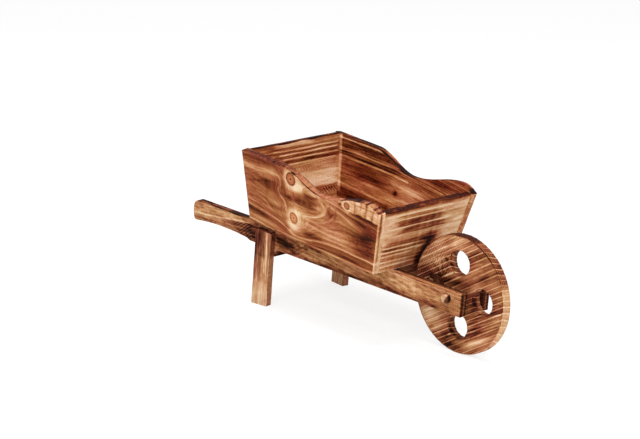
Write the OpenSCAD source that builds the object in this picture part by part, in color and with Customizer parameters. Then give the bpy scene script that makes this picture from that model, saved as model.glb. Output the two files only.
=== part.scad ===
// Small wooden wheelbarrow planter made of flamed softwood boards.
// X runs from the handles to the wheel, Y across and Z up. The origin is on the
// ground, below the middle of the whole barrow. The rails, the legs and the box
// slope down to the wheel together, while the feet are cut level with the ground.

/* [Rails] */
// Height of a rail
rail_h = 28; // [24:0.5:34]
// Thickness of a rail
rail_t = 10; // [8:0.5:12]
// Width over both rails at the handle ends
handle_spread = 155; // [140:1:170]
// Width over both rails at their noses
nose_spread = 46; // [42:0.5:60]
// Distance from the axle forward to the rails' noses
nose_len = 21.5; // [18:0.5:30]
// Slope of the rails down to the wheel, in degrees
pitch = 4.3; // [2:0.1:7]

/* [Handle grips] */
// Length of the shaped grip
grip_len = 88; // [60:1:92]
// Rounding of the upper corner of the handle end
grip_top_r = 9; // [4:0.5:11]
// Rounding of the lower corner of the handle end
grip_low_r = 4; // [2:0.5:6]
// Depth of the finger scallop under the grip
scallop_depth = 3.6; // [1:0.1:5]
// Height of the outer bevel's upper edge at the handle end
bevel_start_h = 10; // [6:0.5:14]
// Height of the outer bevel's upper edge at its stop
bevel_stop_h = 21; // [15:0.5:23]
// Angle of the outer bevel from the rail's face, in degrees
bevel_angle = 13; // [6:0.5:16]
// Length of the ramp where the bevel runs out
bevel_ramp = 9; // [5:0.5:12]

/* [Legs] */
// Distance from the handle end to the back edge of a leg
leg_x = 113.5; // [108:0.5:150]
// Width of a leg
leg_w = 25; // [20:0.5:32]
// Thickness of a leg
leg_t = 9.5; // [8:0.5:12]
// Distance from the rail's upper edge down to the leg's top
leg_top_drop = 4.5; // [1:0.5:7]
// Thickness of the crossbar that joins the legs under the rails
crossbar_t = 9.5; // [8:0.5:14]
// Thickness of the tie between the rails, under the box's front end
tie_t = 10; // [8:0.5:12]
// Height of that tie
tie_h = 22; // [20:0.5:24]

/* [Planter box] */
// Distance from the handle end to the box's lower back edge
box_x = 97; // [90:0.5:130]
// Length of the box along its bottom
box_len = 222; // [200:1:240]
// How far the box stands out over the rails at its lower back edge
box_overhang = 2; // [0:0.5:6]
// Height of the back board and of the sides' back part
back_h = 90.5; // [84:0.5:110]
// Height of the front board and of the sides' front corners
front_h = 79; // [70:0.5:84]
// Thickness of the four box boards
board_t = 10; // [8:0.5:12]
// Thickness of the floor boards
floor_t = 10; // [8:0.5:12]
// Drainage gap between the two floor boards
floor_gap = 4; // [2:0.5:10]
// Outward lean of the side boards, in degrees
side_lean = 9.2; // [5:0.1:12]
// Slope of the side boards' back edge, in degrees
tail_slope = 3.8; // [1:0.1:7]
// Lean of the back board, in degrees
back_lean = 11.5; // [8:0.1:15]
// Lean of the front board, in degrees
front_lean = 11.4; // [6:0.1:15]

/* [Swept side edge] */
// Distance from the box's lower back edge to the start of the sweep
sweep_x = 66; // [50:1:80]
// Distance from the box's lower back edge to the bottom of the dip
dip_x = 137; // [120:1:150]
// Height of the bottom of the dip
dip_h = 71.5; // [62:0.5:76]
// Distance from the sides' upper front corner back to the crest
crest_back = 21; // [16:1:40]
// Height of the crest before the front board
crest_h = 86.5; // [84.5:0.5:90]

/* [Wheel] */
// Diameter of the wheel
wheel_d = 141; // [130:1:150]
// Thickness of the wheel
wheel_t = 12; // [10:0.5:14]
// Rounding-off of the wheel's rim
rim_chamfer = 0.8; // [0.3:0.1:1.5]
// Number of round openings in the wheel
wheel_holes = 4; // [3:1:5]
// Diameter of each round opening
wheel_hole_d = 30; // [22:0.5:32]
// Radius of the circle on which the openings lie
wheel_hole_r = 37.5; // [35:0.5:42]
// Diameter of the wooden axle
axle_d = 10; // [8:0.5:12]
// How far the axle stands out of each rail
axle_stub = 4; // [1:0.5:8]
// Free space between the box's lower front edge and the wheel
wheel_gap = 9.5; // [6:0.5:25]
// Height of the axle above the rails' lower edge
axle_up = 17.5; // [14:0.5:18]

/* [Brads] */
// Diameter of a brad's shank
brad_d = 1.4; // [1:0.1:2]
// Diameter of a brad's head
brad_head_d = 2.4; // [2.2:0.1:3]
// Thickness of a brad's head
brad_head_t = 0.8; // [0.5:0.1:1.2]
// Length of the brads in the box
box_brad_len = 25; // [20:0.5:28]
// Length of the brads in the legs
leg_brad_len = 16; // [13:0.5:16.5]
// Distance of the outer brads from the ends of their row up a board
brad_inset = 14; // [10:0.5:18]
// Distance from the floor's ends to the brads that go down into the rails
rail_brad_inset = 45; // [35:1:60]
// Distance from the floor's ends to the brads that come in through the sides
floor_brad_inset = 70; // [66:1:80]

/* [Fits] */
// Gap between boards that are glued and nailed together
joint_gap = 0.05; // [0.02:0.01:0.1]
// Radial gap between the wheel's bore and the axle
running_gap = 0.08; // [0.05:0.01:0.1]
// Radial gap round a glued axle end or a driven brad
seat_gap = 0.02; // [0.01:0.01:0.04]

/* [Hidden] */

$fn = 96;
// Room by which a cutting shape runs past what it cuts
past = 5;
curve_steps = 14;
side_brad_rows = 3;

wood_pale = [0.80, 0.58, 0.37];
wood_mid = [0.70, 0.45, 0.25];
wood_dark = [0.52, 0.30, 0.15];
steel = [0.55, 0.55, 0.56];

wheel_r = wheel_d / 2;
axle_r = axle_d / 2;
// Places along the sloping frame, from the handle ends
leg_end_x = leg_x + leg_w;
box_front_x = box_x + box_len;
axle_x = box_front_x + wheel_gap + wheel_r;
nose_x = axle_x + nose_len;
// Each rail turns in by this angle towards the wheel
toe = atan((handle_spread - nose_spread) / 2 / nose_x);
rail_len = nose_x / cos(toe);
// Width of the box across its bottom, lined up with the rails at its back
box_w = 2 * (rail_outer_y(box_x) + box_overhang);
// Height of the rails' lower edge above the ground at the handle ends,
// so that the wheel and the level feet stand on the same ground
frame_z = wheel_r + axle_x * sin(pitch) - axle_up * cos(pitch);
// Ends of the whole barrow before it is centred on the origin
tail_reach = norm([cos(pitch) * cos(toe), sin(pitch)]);
tail_x = cos(pitch) * (cos(toe) * grip_low_r - rail_t * sin(toe))
    + sin(pitch) * grip_low_r - grip_low_r * tail_reach;
wheel_x = axle_x * cos(pitch) + axle_up * sin(pitch);
centre_x = (tail_x + wheel_x + wheel_r) / 2;
// Height in the sloping frame of what stands on the rails
seat_z = rail_h + joint_gap;
// Thickness of a leaning board measured level
side_t_level = board_t / cos(side_lean);
back_t_level = board_t / cos(back_lean);
front_t_level = board_t / cos(front_lean);
// Space between the box boards at the level of their lower edges
floor_start = back_outer_x(0) + back_t_level + joint_gap;
floor_end = box_front_x - front_t_level - joint_gap;
floor_half_w = box_w / 2 - side_t_level - joint_gap;
// Places of the tie's back and front faces, behind the floor's front end
tie_start = floor_end - tie_t - 1;
tie_end = floor_end - 1;
axle_len = 2 * (rail_outer_y(axle_x) + axle_stub);

// Distance from the middle plane to a rail's outer face at length x
function rail_outer_y(x) = handle_spread / 2 - x * tan(toe);
// Distance from the middle plane to the middle of a rail at length x
function rail_mid_y(x) = rail_outer_y(x) - rail_t / 2 / cos(toe);
// Distance from the middle plane to a rail's inner face at length x
function rail_inner_y(x) = rail_outer_y(x) - rail_t / cos(toe);
// Half the width over the side boards at height h above the rails
function side_outer_y(h) = box_w / 2 + h * tan(side_lean);
// Place of the side boards' back edge at height h
function side_back_x(h) = box_x - h * tan(tail_slope);
// Places of the outer faces of the back and front boards at height h;
// the back board's upper edge meets the sides' upper back corners
function back_outer_x(h) = side_back_x(back_h) + (back_h - h) * tan(back_lean);
function front_outer_x(h) = box_front_x + h * tan(front_lean);
// Smooth step from a to b as t goes from 0 to 1
function ease(a, b, t) = a + (b - a) * (1 - cos(180 * t)) / 2;
// Points of one smooth wave between two places on the swept edge
function wave(x0, h0, x1, h1) =
    [for (i = [0:curve_steps]) [x0 + (x1 - x0) * i / curve_steps, ease(h0, h1, i / curve_steps)]];
// Points of the rounded fall from the crest to the front corner
function fall(x0, h0, x1, h1) =
    [for (i = [1:curve_steps]) [x0 + (x1 - x0) * i / curve_steps, h1 + (h0 - h1) * cos(90 * i / curve_steps)]];
// Heights of the brads up the end of a board of height h
function brad_rows(h) =
    [for (i = [0:side_brad_rows - 1]) brad_inset + (h - 2 * brad_inset) * i / (side_brad_rows - 1)];
// Outline point moved from a height above the rails to a length up the board
function up_slope(p) = [p[0], p[1] / cos(side_lean)];

// Puts the sloping frame on the ground, centred over the origin
module on_ground() {
    translate([-centre_x, 0, frame_z]) rotate([0, pitch, 0]) children();
}

// Copies a right-hand shape to the left when side is 1
module on_side(side) {
    mirror([0, side > 0 ? 1 : 0, 0]) children();
}

// Frame of the right rail: X along it, its outer face at Y = 0
module along_rail() {
    translate([0, -handle_spread / 2, 0]) rotate([0, 0, toe]) children();
}

// Wood outside a rounded corner of radius r at the origin
module corner_waste(r) {
    difference() {
        translate([-past, -past]) square([r + past, r + past]);
        translate([r, r]) circle(r);
    }
}

// Side view of a rail with its rounded end and finger scallop
module rail_outline() {
    scallop_r = (pow(grip_len / 2, 2) + pow(scallop_depth, 2)) / (2 * scallop_depth);
    difference() {
        square([rail_len, rail_h]);
        corner_waste(grip_low_r);
        translate([0, rail_h]) mirror([0, 1]) corner_waste(grip_top_r);
        translate([grip_len / 2, scallop_depth - scallop_r]) circle(scallop_r, $fn = 360);
    }
}

// Wood cut off the lower outer edge of a grip, ending in a ramp
module grip_bevel() {
    rise = atan((bevel_stop_h - bevel_start_h) / grip_len);
    deep = rail_t;
    run = bevel_ramp * deep / (bevel_stop_h * sin(bevel_angle));
    outline = [[-2 * past, 0], [grip_len, 0], [grip_len + run, -deep], [-2 * past, -deep]];
    translate([0, 0, bevel_start_h]) rotate([0, -rise, 0]) rotate([bevel_angle, 0, 0])
        translate([0, 0, -2 * rail_h]) linear_extrude(2 * rail_h) polygon(outline);
}

module axle_cut(gap) {
    translate([axle_x, 0, axle_up]) rotate([90, 0, 0])
        cylinder(h = axle_len + 2 * past, r = axle_r + gap, center = true);
}

// One brad with its head's top at the origin, pointing along +Z
module brad(length, gap = 0) {
    cylinder(h = length + gap, r = brad_d / 2 + gap, $fn = 24);
    translate([0, 0, gap > 0 ? -past : 0])
        cylinder(h = brad_head_t + gap + (gap > 0 ? past : 0), r = brad_head_d / 2 + gap, $fn = 24);
}

// Depth that sinks a level brad's head below a face that leans by an angle
function sink(lean) = brad_head_d / 2 * tan(lean);

// Brads through a side board into the back board, the front board and the floor
module side_brad_set(gap = 0) {
    holds = concat(
        [for (h = brad_rows(back_h)) [back_outer_x(h) + back_t_level / 2, h]],
        [for (h = brad_rows(front_h)) [front_outer_x(h) - front_t_level / 2, h]],
        [for (x = [floor_start + floor_brad_inset, floor_end - floor_brad_inset]) [x, floor_t / 2]]
    );
    for (p = holds)
        translate([p[0], sink(side_lean) - side_outer_y(p[1]), seat_z + p[1]])
            rotate([-90, 0, 0]) brad(box_brad_len, gap);
}

// Brads through the back and front boards into one floor board
module end_brad_set(gap = 0) {
    y = -(floor_half_w + floor_gap / 2) / 2;
    h = floor_t / 2;
    translate([back_outer_x(h) + sink(back_lean), y, seat_z + h])
        rotate([0, 90, 0]) brad(box_brad_len, gap);
    translate([front_outer_x(h) - sink(front_lean), y, seat_z + h])
        rotate([0, -90, 0]) brad(box_brad_len, gap);
}

// Brads down through one floor board into the rail below it and into the tie
module floor_brad_set(gap = 0) {
    tie_x = (tie_start + tie_end) / 2;
    down_rail = [for (x = [floor_start + rail_brad_inset, floor_end - rail_brad_inset]) [x, rail_mid_y(x)]];
    for (p = concat(down_rail, [[tie_x, rail_inner_y(tie_x) / 2]]))
        translate([p[0], -p[1], seat_z + floor_t]) rotate([180, 0, 0]) brad(box_brad_len, gap);
}

// Brads through a leg into the rail and into the crossbar's end
module leg_brad_set(gap = 0) {
    x = leg_mid_along();
    step = leg_w / 4;
    z_low = rail_h / 4;
    z_high = rail_h - leg_top_drop - rail_h / 5;
    for (p = [[x - step, z_high], [x + step, z_low], [x, -crossbar_t / 2]])
        along_rail() translate([p[0], -leg_t - joint_gap, p[1]]) rotate([-90, 0, 0])
            brad(leg_brad_len, gap);
}

// Middle of a leg measured along its rail
function leg_mid_along() = (leg_x + leg_w / 2) / cos(toe);

// Right rail, from its shaped grip to the axle bore at its nose
module rail() {
    color(wood_pale) difference() {
        along_rail() rotate([90, 0, 0]) translate([0, 0, -rail_t]) linear_extrude(rail_t) rail_outline();
        along_rail() grip_bevel();
        axle_cut(seat_gap);
        floor_brad_set(seat_gap);
        leg_brad_set(seat_gap);
    }
}

// Right leg on the outer face of its rail, cut level with the ground
module leg() {
    length = frame_z + rail_h + past;
    color(wood_mid) difference() {
        on_ground() difference() {
            along_rail() translate([leg_mid_along() - leg_w / 2, -leg_t - joint_gap, rail_h - leg_top_drop - length])
                cube([leg_w, leg_t, length]);
            leg_brad_set(seat_gap);
        }
        translate([-rail_len, -handle_spread, -rail_len]) cube([2 * rail_len, 2 * handle_spread, rail_len]);
    }
}

// Bar that lies flat under both rails, between the legs
module leg_crossbar() {
    ends = [[leg_x, rail_outer_y(leg_x)], [leg_end_x, rail_outer_y(leg_end_x)]];
    outline = concat(ends, [for (p = [ends[1], ends[0]]) [p[0], -p[1]]]);
    color(wood_dark) on_ground() difference() {
        translate([0, 0, -crossbar_t - joint_gap]) linear_extrude(crossbar_t) polygon(outline);
        for (side = [-1, 1])
            on_side(side) leg_brad_set(seat_gap);
    }
}

// Tie that stands between the rails, below the front end of the floor
module rail_tie() {
    ends = [for (x = [tie_start, tie_end]) [x, rail_inner_y(x) - joint_gap]];
    outline = concat(ends, [for (p = [ends[1], ends[0]]) [p[0], -p[1]]]);
    color(wood_dark) on_ground() difference() {
        translate([0, 0, rail_h - tie_h]) linear_extrude(tie_h) polygon(outline);
        for (side = [-1, 1])
            on_side(side) floor_brad_set(seat_gap);
    }
}

// Outline of a side board in its own plane, with the swept upper edge
module side_outline() {
    x_dip = box_x + dip_x;
    x_corner = front_outer_x(front_h);
    x_crest = x_corner - crest_back;
    foot = -board_t * sin(side_lean) - past;
    swept = concat(
        wave(box_x + sweep_x, back_h, x_dip, dip_h),
        wave(x_dip, dip_h, x_crest, crest_h),
        fall(x_crest, crest_h, x_corner, front_h)
    );
    rim = concat(
        [[side_back_x(foot), foot], [side_back_x(back_h), back_h]],
        swept,
        [[front_outer_x(foot), foot]]
    );
    polygon([for (p = rim) up_slope(p)]);
}

// Everything below the level at which the box stands on the rails
module below_seat() {
    translate([-rail_len, -rail_len, seat_z - rail_len]) cube([3 * rail_len, 2 * rail_len, rail_len]);
}

// Right side board, leaning outwards, its lower edge cut level
module side_board() {
    color(wood_mid) on_ground() difference() {
        translate([0, -box_w / 2, seat_z]) rotate([90 + side_lean, 0, 0])
            translate([0, 0, -board_t]) linear_extrude(board_t) side_outline();
        below_seat();
        side_brad_set(seat_gap);
    }
}

// Space between the two side boards, open at both ends
module between_sides() {
    low = side_outer_y(-past) - side_t_level - joint_gap;
    high = side_outer_y(2 * back_h) - side_t_level - joint_gap;
    outline = [[-low, -past], [low, -past], [high, 2 * back_h], [-high, 2 * back_h]];
    translate([0, 0, seat_z]) rotate([90, 0, 90]) linear_extrude(2 * rail_len) polygon(outline);
}

// End board whose outer face leans away from the box, its ends cut to the sides
module end_board(x, height, lean, outward) {
    up = height / cos(lean);
    foot = board_t * sin(lean) + past;
    color(wood_mid) on_ground() difference() {
        intersection() {
            translate([x, 0, seat_z]) rotate([0, outward * lean, 0])
                translate([outward > 0 ? -board_t : 0, -box_w, -foot]) cube([board_t, 2 * box_w, up + foot]);
            between_sides();
        }
        below_seat();
        for (side = [-1, 1])
            on_side(side) {
                side_brad_set(seat_gap);
                end_brad_set(seat_gap);
            }
    }
}

module back_board() {
    end_board(back_outer_x(0), back_h, back_lean, -1);
}

module front_board() {
    end_board(box_front_x, front_h, front_lean, 1);
}

// Right floor board, lying along the rails inside the four box boards
module floor_board() {
    color(wood_dark) on_ground() difference() {
        translate([floor_start, -floor_half_w, seat_z])
            cube([floor_end - floor_start, floor_half_w - floor_gap / 2, floor_t]);
        side_brad_set(seat_gap);
        end_brad_set(seat_gap);
        floor_brad_set(seat_gap);
    }
}

// Round dowel glued into both rails
module axle_dowel() {
    color(wood_pale) on_ground() translate([axle_x, 0, axle_up]) rotate([90, 0, 0])
        cylinder(h = axle_len, r = axle_r, center = true);
}

// Solid disc wheel with round openings, turning on the dowel
module wheel() {
    bore_r = axle_r + running_gap;
    half = wheel_t / 2;
    profile = [
        [bore_r, -half],
        [wheel_r - rim_chamfer, -half],
        [wheel_r, rim_chamfer - half],
        [wheel_r, half - rim_chamfer],
        [wheel_r - rim_chamfer, half],
        [bore_r, half]
    ];
    color(wood_dark) translate([wheel_x - centre_x, 0, wheel_r]) rotate([90, 0, 0]) difference() {
        rotate_extrude($fn = 180) polygon(profile);
        for (i = [0:wheel_holes - 1])
            rotate([0, 0, i * 360 / wheel_holes]) translate([wheel_hole_r, 0, 0])
                cylinder(h = wheel_t + 2 * past, d = wheel_hole_d, center = true);
    }
}

module side_brads() {
    color(steel) on_ground() for (side = [-1, 1])
        on_side(side) side_brad_set();
}

module end_brads() {
    color(steel) on_ground() for (side = [-1, 1])
        on_side(side) end_brad_set();
}

module floor_brads() {
    color(steel) on_ground() for (side = [-1, 1])
        on_side(side) floor_brad_set();
}

module leg_brads() {
    color(steel) on_ground() for (side = [-1, 1])
        on_side(side) leg_brad_set();
}

on_side(1) on_ground() rail();  // rail_left
on_ground() rail();  // rail_right
on_side(1) leg();  // leg_left
leg();  // leg_right
leg_crossbar();
rail_tie();
on_side(1) side_board();  // side_board_left
side_board();  // side_board_right
back_board();
front_board();
on_side(1) floor_board();  // floor_board_left
floor_board();  // floor_board_right
axle_dowel();
wheel();
side_brads();
end_brads();
floor_brads();
leg_brads();
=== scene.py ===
# %% [markdown]
# A small wheelbarrow planter, nailed together from flamed softwood boards.
# The CAD model gives every board its place and size. This script dresses it: each
# board is made again as a dense surface with eased edges, brushed grain and burnt
# wood, because on the real planter the grain is what the eye sees first.

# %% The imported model
import functools
import math

import bpy
import numpy as np
from mathutils import Matrix, Vector


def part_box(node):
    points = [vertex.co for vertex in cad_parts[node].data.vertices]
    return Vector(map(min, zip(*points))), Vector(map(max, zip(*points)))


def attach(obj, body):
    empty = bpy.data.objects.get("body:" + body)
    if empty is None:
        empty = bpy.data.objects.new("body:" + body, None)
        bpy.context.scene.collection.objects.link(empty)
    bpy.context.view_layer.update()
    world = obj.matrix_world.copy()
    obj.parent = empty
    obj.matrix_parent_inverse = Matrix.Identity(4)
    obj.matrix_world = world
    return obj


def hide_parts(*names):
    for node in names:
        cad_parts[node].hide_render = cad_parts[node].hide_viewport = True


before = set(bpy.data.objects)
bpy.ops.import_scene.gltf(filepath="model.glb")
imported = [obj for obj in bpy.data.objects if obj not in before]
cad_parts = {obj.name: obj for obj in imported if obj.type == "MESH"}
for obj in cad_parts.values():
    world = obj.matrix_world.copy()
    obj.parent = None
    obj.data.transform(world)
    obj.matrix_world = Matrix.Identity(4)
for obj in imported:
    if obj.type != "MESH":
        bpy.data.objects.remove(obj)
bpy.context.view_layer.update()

# %% [markdown]
# The camera stands in front and to the right, a little above the rim of the box, and
# far away with a long lens. Its place was worked out from 23 points of the barrow and
# the outline of the wheel. It could be aimed with a constraint, but then the small roll
# is lost, so its three axes are written out.

# %% The camera
AZIMUTH, ELEVATION, ROLL = (math.radians(a) for a in (47.85, 15.943, 1.092))
LENS_MM, SENSOR_MM = 111.15, 36
NEAREST, FARTHEST = 0.1, 50
AIM = np.array([230.0, 0.0, 90.0])
AIM_SHIFT_RIGHT, AIM_SHIFT_UP, CAMERA_DISTANCE = -50.635, 30.03, 2383.9
MIDDLE_X = 234.348
MM = 0.001

behind = np.array([math.sin(AZIMUTH) * math.cos(ELEVATION),
                   -math.cos(AZIMUTH) * math.cos(ELEVATION), math.sin(ELEVATION)])
level = np.array([math.cos(AZIMUTH), math.sin(AZIMUTH), 0.0])
upward = np.cross(behind, level)
right = math.cos(ROLL) * level + math.sin(ROLL) * upward
top = np.cross(behind, right)
eye = AIM + AIM_SHIFT_RIGHT * right + AIM_SHIFT_UP * top + CAMERA_DISTANCE * behind
eye[0] -= MIDDLE_X

camera = bpy.data.objects.new("camera", bpy.data.cameras.new("camera"))
bpy.context.collection.objects.link(camera)
camera.data.lens, camera.data.sensor_width = LENS_MM, SENSOR_MM
camera.data.clip_start, camera.data.clip_end = NEAREST, FARTHEST
aimed = Matrix([[*axes] for axes in zip(right, top, behind)]).to_4x4()
camera.matrix_world = Matrix.Translation(Vector(eye * MM)) @ aimed
bpy.context.scene.camera = camera
print("camera at", np.round(eye * MM, 3))

# %% [markdown]
# Every material is a tree of nodes. Written out node by node, a tree takes pages, so a
# few helpers make a node, link it and set its values in one line.

# %% Small helpers for node trees
def add_node(tree, kind, inputs=None, **settings):
    """One shader node of this kind. An input gets a value, or a link where a socket is given."""
    made = tree.nodes.new("ShaderNode" + kind)
    for name, value in settings.items():
        setattr(made, name, value)
    for key, value in (inputs or {}).items():
        if isinstance(value, bpy.types.NodeSocket):
            tree.links.new(value, made.inputs[key])
        else:
            made.inputs[key].default_value = value
    return made


def sum_of(tree, operation, *values, clamp=False):
    """The result of one Math node on up to three values."""
    inputs = dict(enumerate(values))
    return add_node(tree, "Math", inputs, operation=operation, use_clamp=clamp).outputs[0]


def ramp_of(tree, factor, stops):
    """A Color Ramp whose stops are pairs of a place and a grey value or a colour."""
    made = add_node(tree, "ValToRGB", {"Fac": factor})
    for index, (place, value) in enumerate(stops):
        element = made.color_ramp.elements[index] if index < 2 else made.color_ramp.elements.new(place)
        element.position = place
        element.color = (*value, 1.0) if isinstance(value, tuple) else (value, value, value, 1.0)
    return made.outputs["Color"]


def screen(*values):
    """A colour given as 0 to 255 on screen, turned to the linear light that shaders use."""
    return tuple(((v / 255 + 0.055) / 1.055) ** 2.4 if v > 10 else v / 255 / 12.92 for v in values)


def new_material(name):
    """A material that is built from nodes, and its empty tree."""
    material = bpy.data.materials.new(name)
    material.use_nodes = True
    material.node_tree.nodes.clear()
    return material, material.node_tree

# %% [markdown]
# Floor and light are those of a catalogue picture: white all round, and one soft grey
# shadow. A brighter lamp would bleach the wood, so the white is in the floor's own
# material: what the camera sees of it is lifted, while the light that it throws back
# at the wood stays that of pale card.

# %% Floor, world and lamps
FLOOR_HALF, ROOM_LIGHT, WHITE = 4.0, 0.62, (1, 1, 1, 1)
PALE_CARD, SEEN_CARD, SEEN_LIFT = 0.80, 0.24, 0.79

floor_material, tree = new_material("white_floor")
card, soft_card = (add_node(tree, "BsdfDiffuse", {"Color": (grey, grey, grey, 1)})
                   for grey in (PALE_CARD, SEEN_CARD))
lift = add_node(tree, "Emission", {"Color": WHITE, "Strength": SEEN_LIFT})
seen = add_node(tree, "AddShader", {0: soft_card.outputs[0], 1: lift.outputs[0]})
rays = add_node(tree, "LightPath")
both = add_node(tree, "MixShader",
                {0: rays.outputs["Is Camera Ray"], 1: card.outputs[0], 2: seen.outputs[0]})
add_node(tree, "OutputMaterial", {"Surface": both.outputs[0]})

floor = bpy.data.objects.new("floor", bpy.data.meshes.new("floor"))
corners = [(x * FLOOR_HALF, y * FLOOR_HALF, 0) for x, y in ((-1, -1), (1, -1), (1, 1), (-1, 1))]
floor.data.from_pydata(corners, [], [(0, 1, 2, 3)])
floor.data.materials.append(floor_material)
bpy.context.collection.objects.link(floor)

world = bpy.data.worlds.new("white_room")
world.use_nodes = True
tree = world.node_tree
tree.nodes.clear()
rays = add_node(tree, "LightPath")
direct = sum_of(tree, "MAXIMUM", rays.outputs["Is Camera Ray"], rays.outputs["Is Glossy Ray"])
strength = add_node(tree, "Mix", {0: direct, 2: ROOM_LIGHT, 3: 1.0}).outputs[0]
sky = add_node(tree, "Background", {"Color": WHITE, "Strength": strength})
add_node(tree, "OutputWorld", {"Surface": sky.outputs[0]})
bpy.context.scene.world = world

BARROW_MIDDLE = Vector((0, 0, 0.08))


def soft_lamp(name, place, size, watts):
    """A square lamp that looks at the middle of the barrow."""
    lamp = bpy.data.objects.new(name, bpy.data.lights.new(name, "AREA"))
    lamp.data.size, lamp.data.energy = size, watts
    lamp.location = place
    lamp.rotation_euler = (BARROW_MIDDLE - Vector(place)).to_track_quat("-Z", "Y").to_euler()
    bpy.context.collection.objects.link(lamp)
    print(name, "gives", watts, "watts from a square of", size, "m")


soft_lamp("key_lamp", (1.0, -1.15, 1.5), 2.2, 27.0)
soft_lamp("top_lamp", (0.05, 0.0, 1.9), 0.6, 24.0)
bpy.context.scene.view_settings.view_transform = "Standard"

# %% [markdown]
# The sizes below repeat those of the part's source, in millimetres, so that every
# dressed board lies exactly where its solid does. X runs forward along the sloping
# frame from the handle ends, and one function turns the whole frame down to its pitch
# and stands it on the ground.

# %% Sizes of the barrow
RAIL_H, RAIL_T, HANDLE_SPREAD, NOSE_SPREAD = 28.0, 10.0, 155.0, 46.0
GRIP_LEN, GRIP_TOP_R, GRIP_LOW_R, SCALLOP = 88.0, 9.0, 4.0, 3.6
BEVEL_START, BEVEL_STOP, BEVEL_ANGLE, BEVEL_RAMP = 10.0, 21.0, math.radians(13), 9.0
LEG_X, LEG_W, LEG_T, LEG_DROP, CROSSBAR_T, TIE_T, TIE_H = 113.5, 25.0, 9.5, 4.5, 9.5, 10.0, 22.0
BOX_X, BOX_LEN, BACK_H, FRONT_H, BOARD_T, FLOOR_T, FLOOR_GAP = 97.0, 222.0, 90.5, 79.0, 10.0, 10.0, 4.0
SIDE_LEAN, TAIL_SLOPE, BACK_LEAN, FRONT_LEAN = (math.radians(a) for a in (9.2, 3.8, 11.5, 11.4))
SWEEP_X, DIP_X, DIP_H, CREST_BACK, CREST_H = 66.0, 137.0, 71.5, 21.0, 86.5
WHEEL_R, WHEEL_T, RIM_EASE, HOLE_R, HOLE_OUT, AXLE_R, STUB = 70.5, 12.0, 0.8, 15.0, 37.5, 5.0, 4.0
WHEEL_GAP, NOSE_LEN, AXLE_UP, JOINT, RUNNING = 9.5, 21.5, 17.5, 0.05, 0.08
BOX_OVERHANG, TIE_BACK, BRAD_INSET, FLOOR_BRAD_INSET = 2.0, 1.0, 14.0, 70.0
PITCH = math.radians(4.3)
SIDES = {"right": -1, "left": 1}

front_x = BOX_X + BOX_LEN
axle_x = front_x + WHEEL_GAP + WHEEL_R
nose_x = axle_x + NOSE_LEN
toe = math.atan((HANDLE_SPREAD - NOSE_SPREAD) / 2 / nose_x)
rail_len = nose_x / math.cos(toe)
frame_z = WHEEL_R + axle_x * math.sin(PITCH) - AXLE_UP * math.cos(PITCH)
seat_z = RAIL_H + JOINT


def rail_outer_y(x):
    """From the middle plane to a rail's outer face at length x."""
    return HANDLE_SPREAD / 2 - x * math.tan(toe)


box_w = 2 * (rail_outer_y(BOX_X) + BOX_OVERHANG)
side_level, back_level, front_level = (
    BOARD_T / math.cos(lean) for lean in (SIDE_LEAN, BACK_LEAN, FRONT_LEAN))
back_foot = BOX_X + BACK_H * (math.tan(BACK_LEAN) - math.tan(TAIL_SLOPE))
floor_start = back_foot + back_level + JOINT
floor_end = front_x - front_level - JOINT
floor_half = box_w / 2 - side_level - JOINT
axle_half = rail_outer_y(axle_x) + STUB
tie_end = floor_end - TIE_BACK


def rotated(a, b, angle):
    """The point (a, b) turned about the origin: a cos - b sin, and a sin + b cos."""
    c, s = math.cos(angle), math.sin(angle)
    return a * c - b * s, a * s + b * c


def on_ground(x, y, z):
    """Points of the sloping frame, turned by the pitch about Y, lifted, and centred along X."""
    x, z = rotated(x, z, -PITCH)
    return np.stack(np.broadcast_arrays(x - MIDDLE_X, y, frame_z + z), -1)


print("rail length", round(rail_len, 2), "box width", round(box_w, 2), "axle at", round(axle_x, 2))

# %% [markdown]
# Every piece here begins as a sawn block, so one surface serves them all: six grids
# close a block, and their edges are eased as sandpaper eases them. Bevelled cubes
# would give the same outline, but they have no points between their edges, and the
# grain needs a point every millimetre or so to stand up from the face.

# %% Blocks with eased edges
EASE = 0.7


def lines_of(low, high, step, ease=EASE):
    """Places of the lattice lines from low to high: even steps, and two close lines in each
    eased edge."""
    count = max(2, round((high - low - 2 * ease) / step) + 1)
    near = ease * (1 - math.tan(math.pi / 8))
    even = np.linspace(low + ease, high - ease, count)
    return np.concatenate([[low, low + near], even, [high - near, high]])


def grid_quads(rows, columns, turned=False):
    """Corner numbers of the quads of a grid of points, row after row."""
    first = np.arange(rows - 1)[:, None] * columns + np.arange(columns - 1)
    quads = np.stack([first, first + columns, first + columns + 1, first + 1], -1).reshape(-1, 4)
    return quads[:, ::-1] if turned else quads


def weld(points, quads):
    """Points in one place, to a micrometre, become one point, and the quads are numbered again."""
    _, first, again = np.unique(np.round(points * 1000).astype(np.int64), axis=0,
                                return_index=True, return_inverse=True)
    return points[first], again.reshape(-1)[quads]


def block_skin(*lines):
    """A closed block: on each of six grids one coordinate is held, and two run over their lines."""
    points, quads, count = [], [], 0
    for axis in range(3):
        b, c = (axis + 1) % 3, (axis + 2) % 3
        for held, turned in ((lines[axis][0], True), (lines[axis][-1], False)):
            grid = np.empty((len(lines[b]), len(lines[c]), 3))
            grid[..., axis], grid[..., b], grid[..., c] = held, lines[b][:, None], lines[c]
            points.append(grid.reshape(-1, 3))
            quads.append(grid_quads(len(lines[b]), len(lines[c]), turned) + count)
            count += len(points[-1])
    return weld(np.concatenate(points), np.concatenate(quads))


def eased(points, lows, highs, ease=EASE):
    """Round edges for a block: a point goes to the inner block, which is smaller by the easing
    all round, and from there out again by the easing, straight away from it."""
    inner = np.clip(points, np.array(lows) + ease, np.array(highs) - ease)
    away = points - inner
    return inner + ease * away / np.linalg.norm(away, axis=1, keepdims=True)


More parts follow.
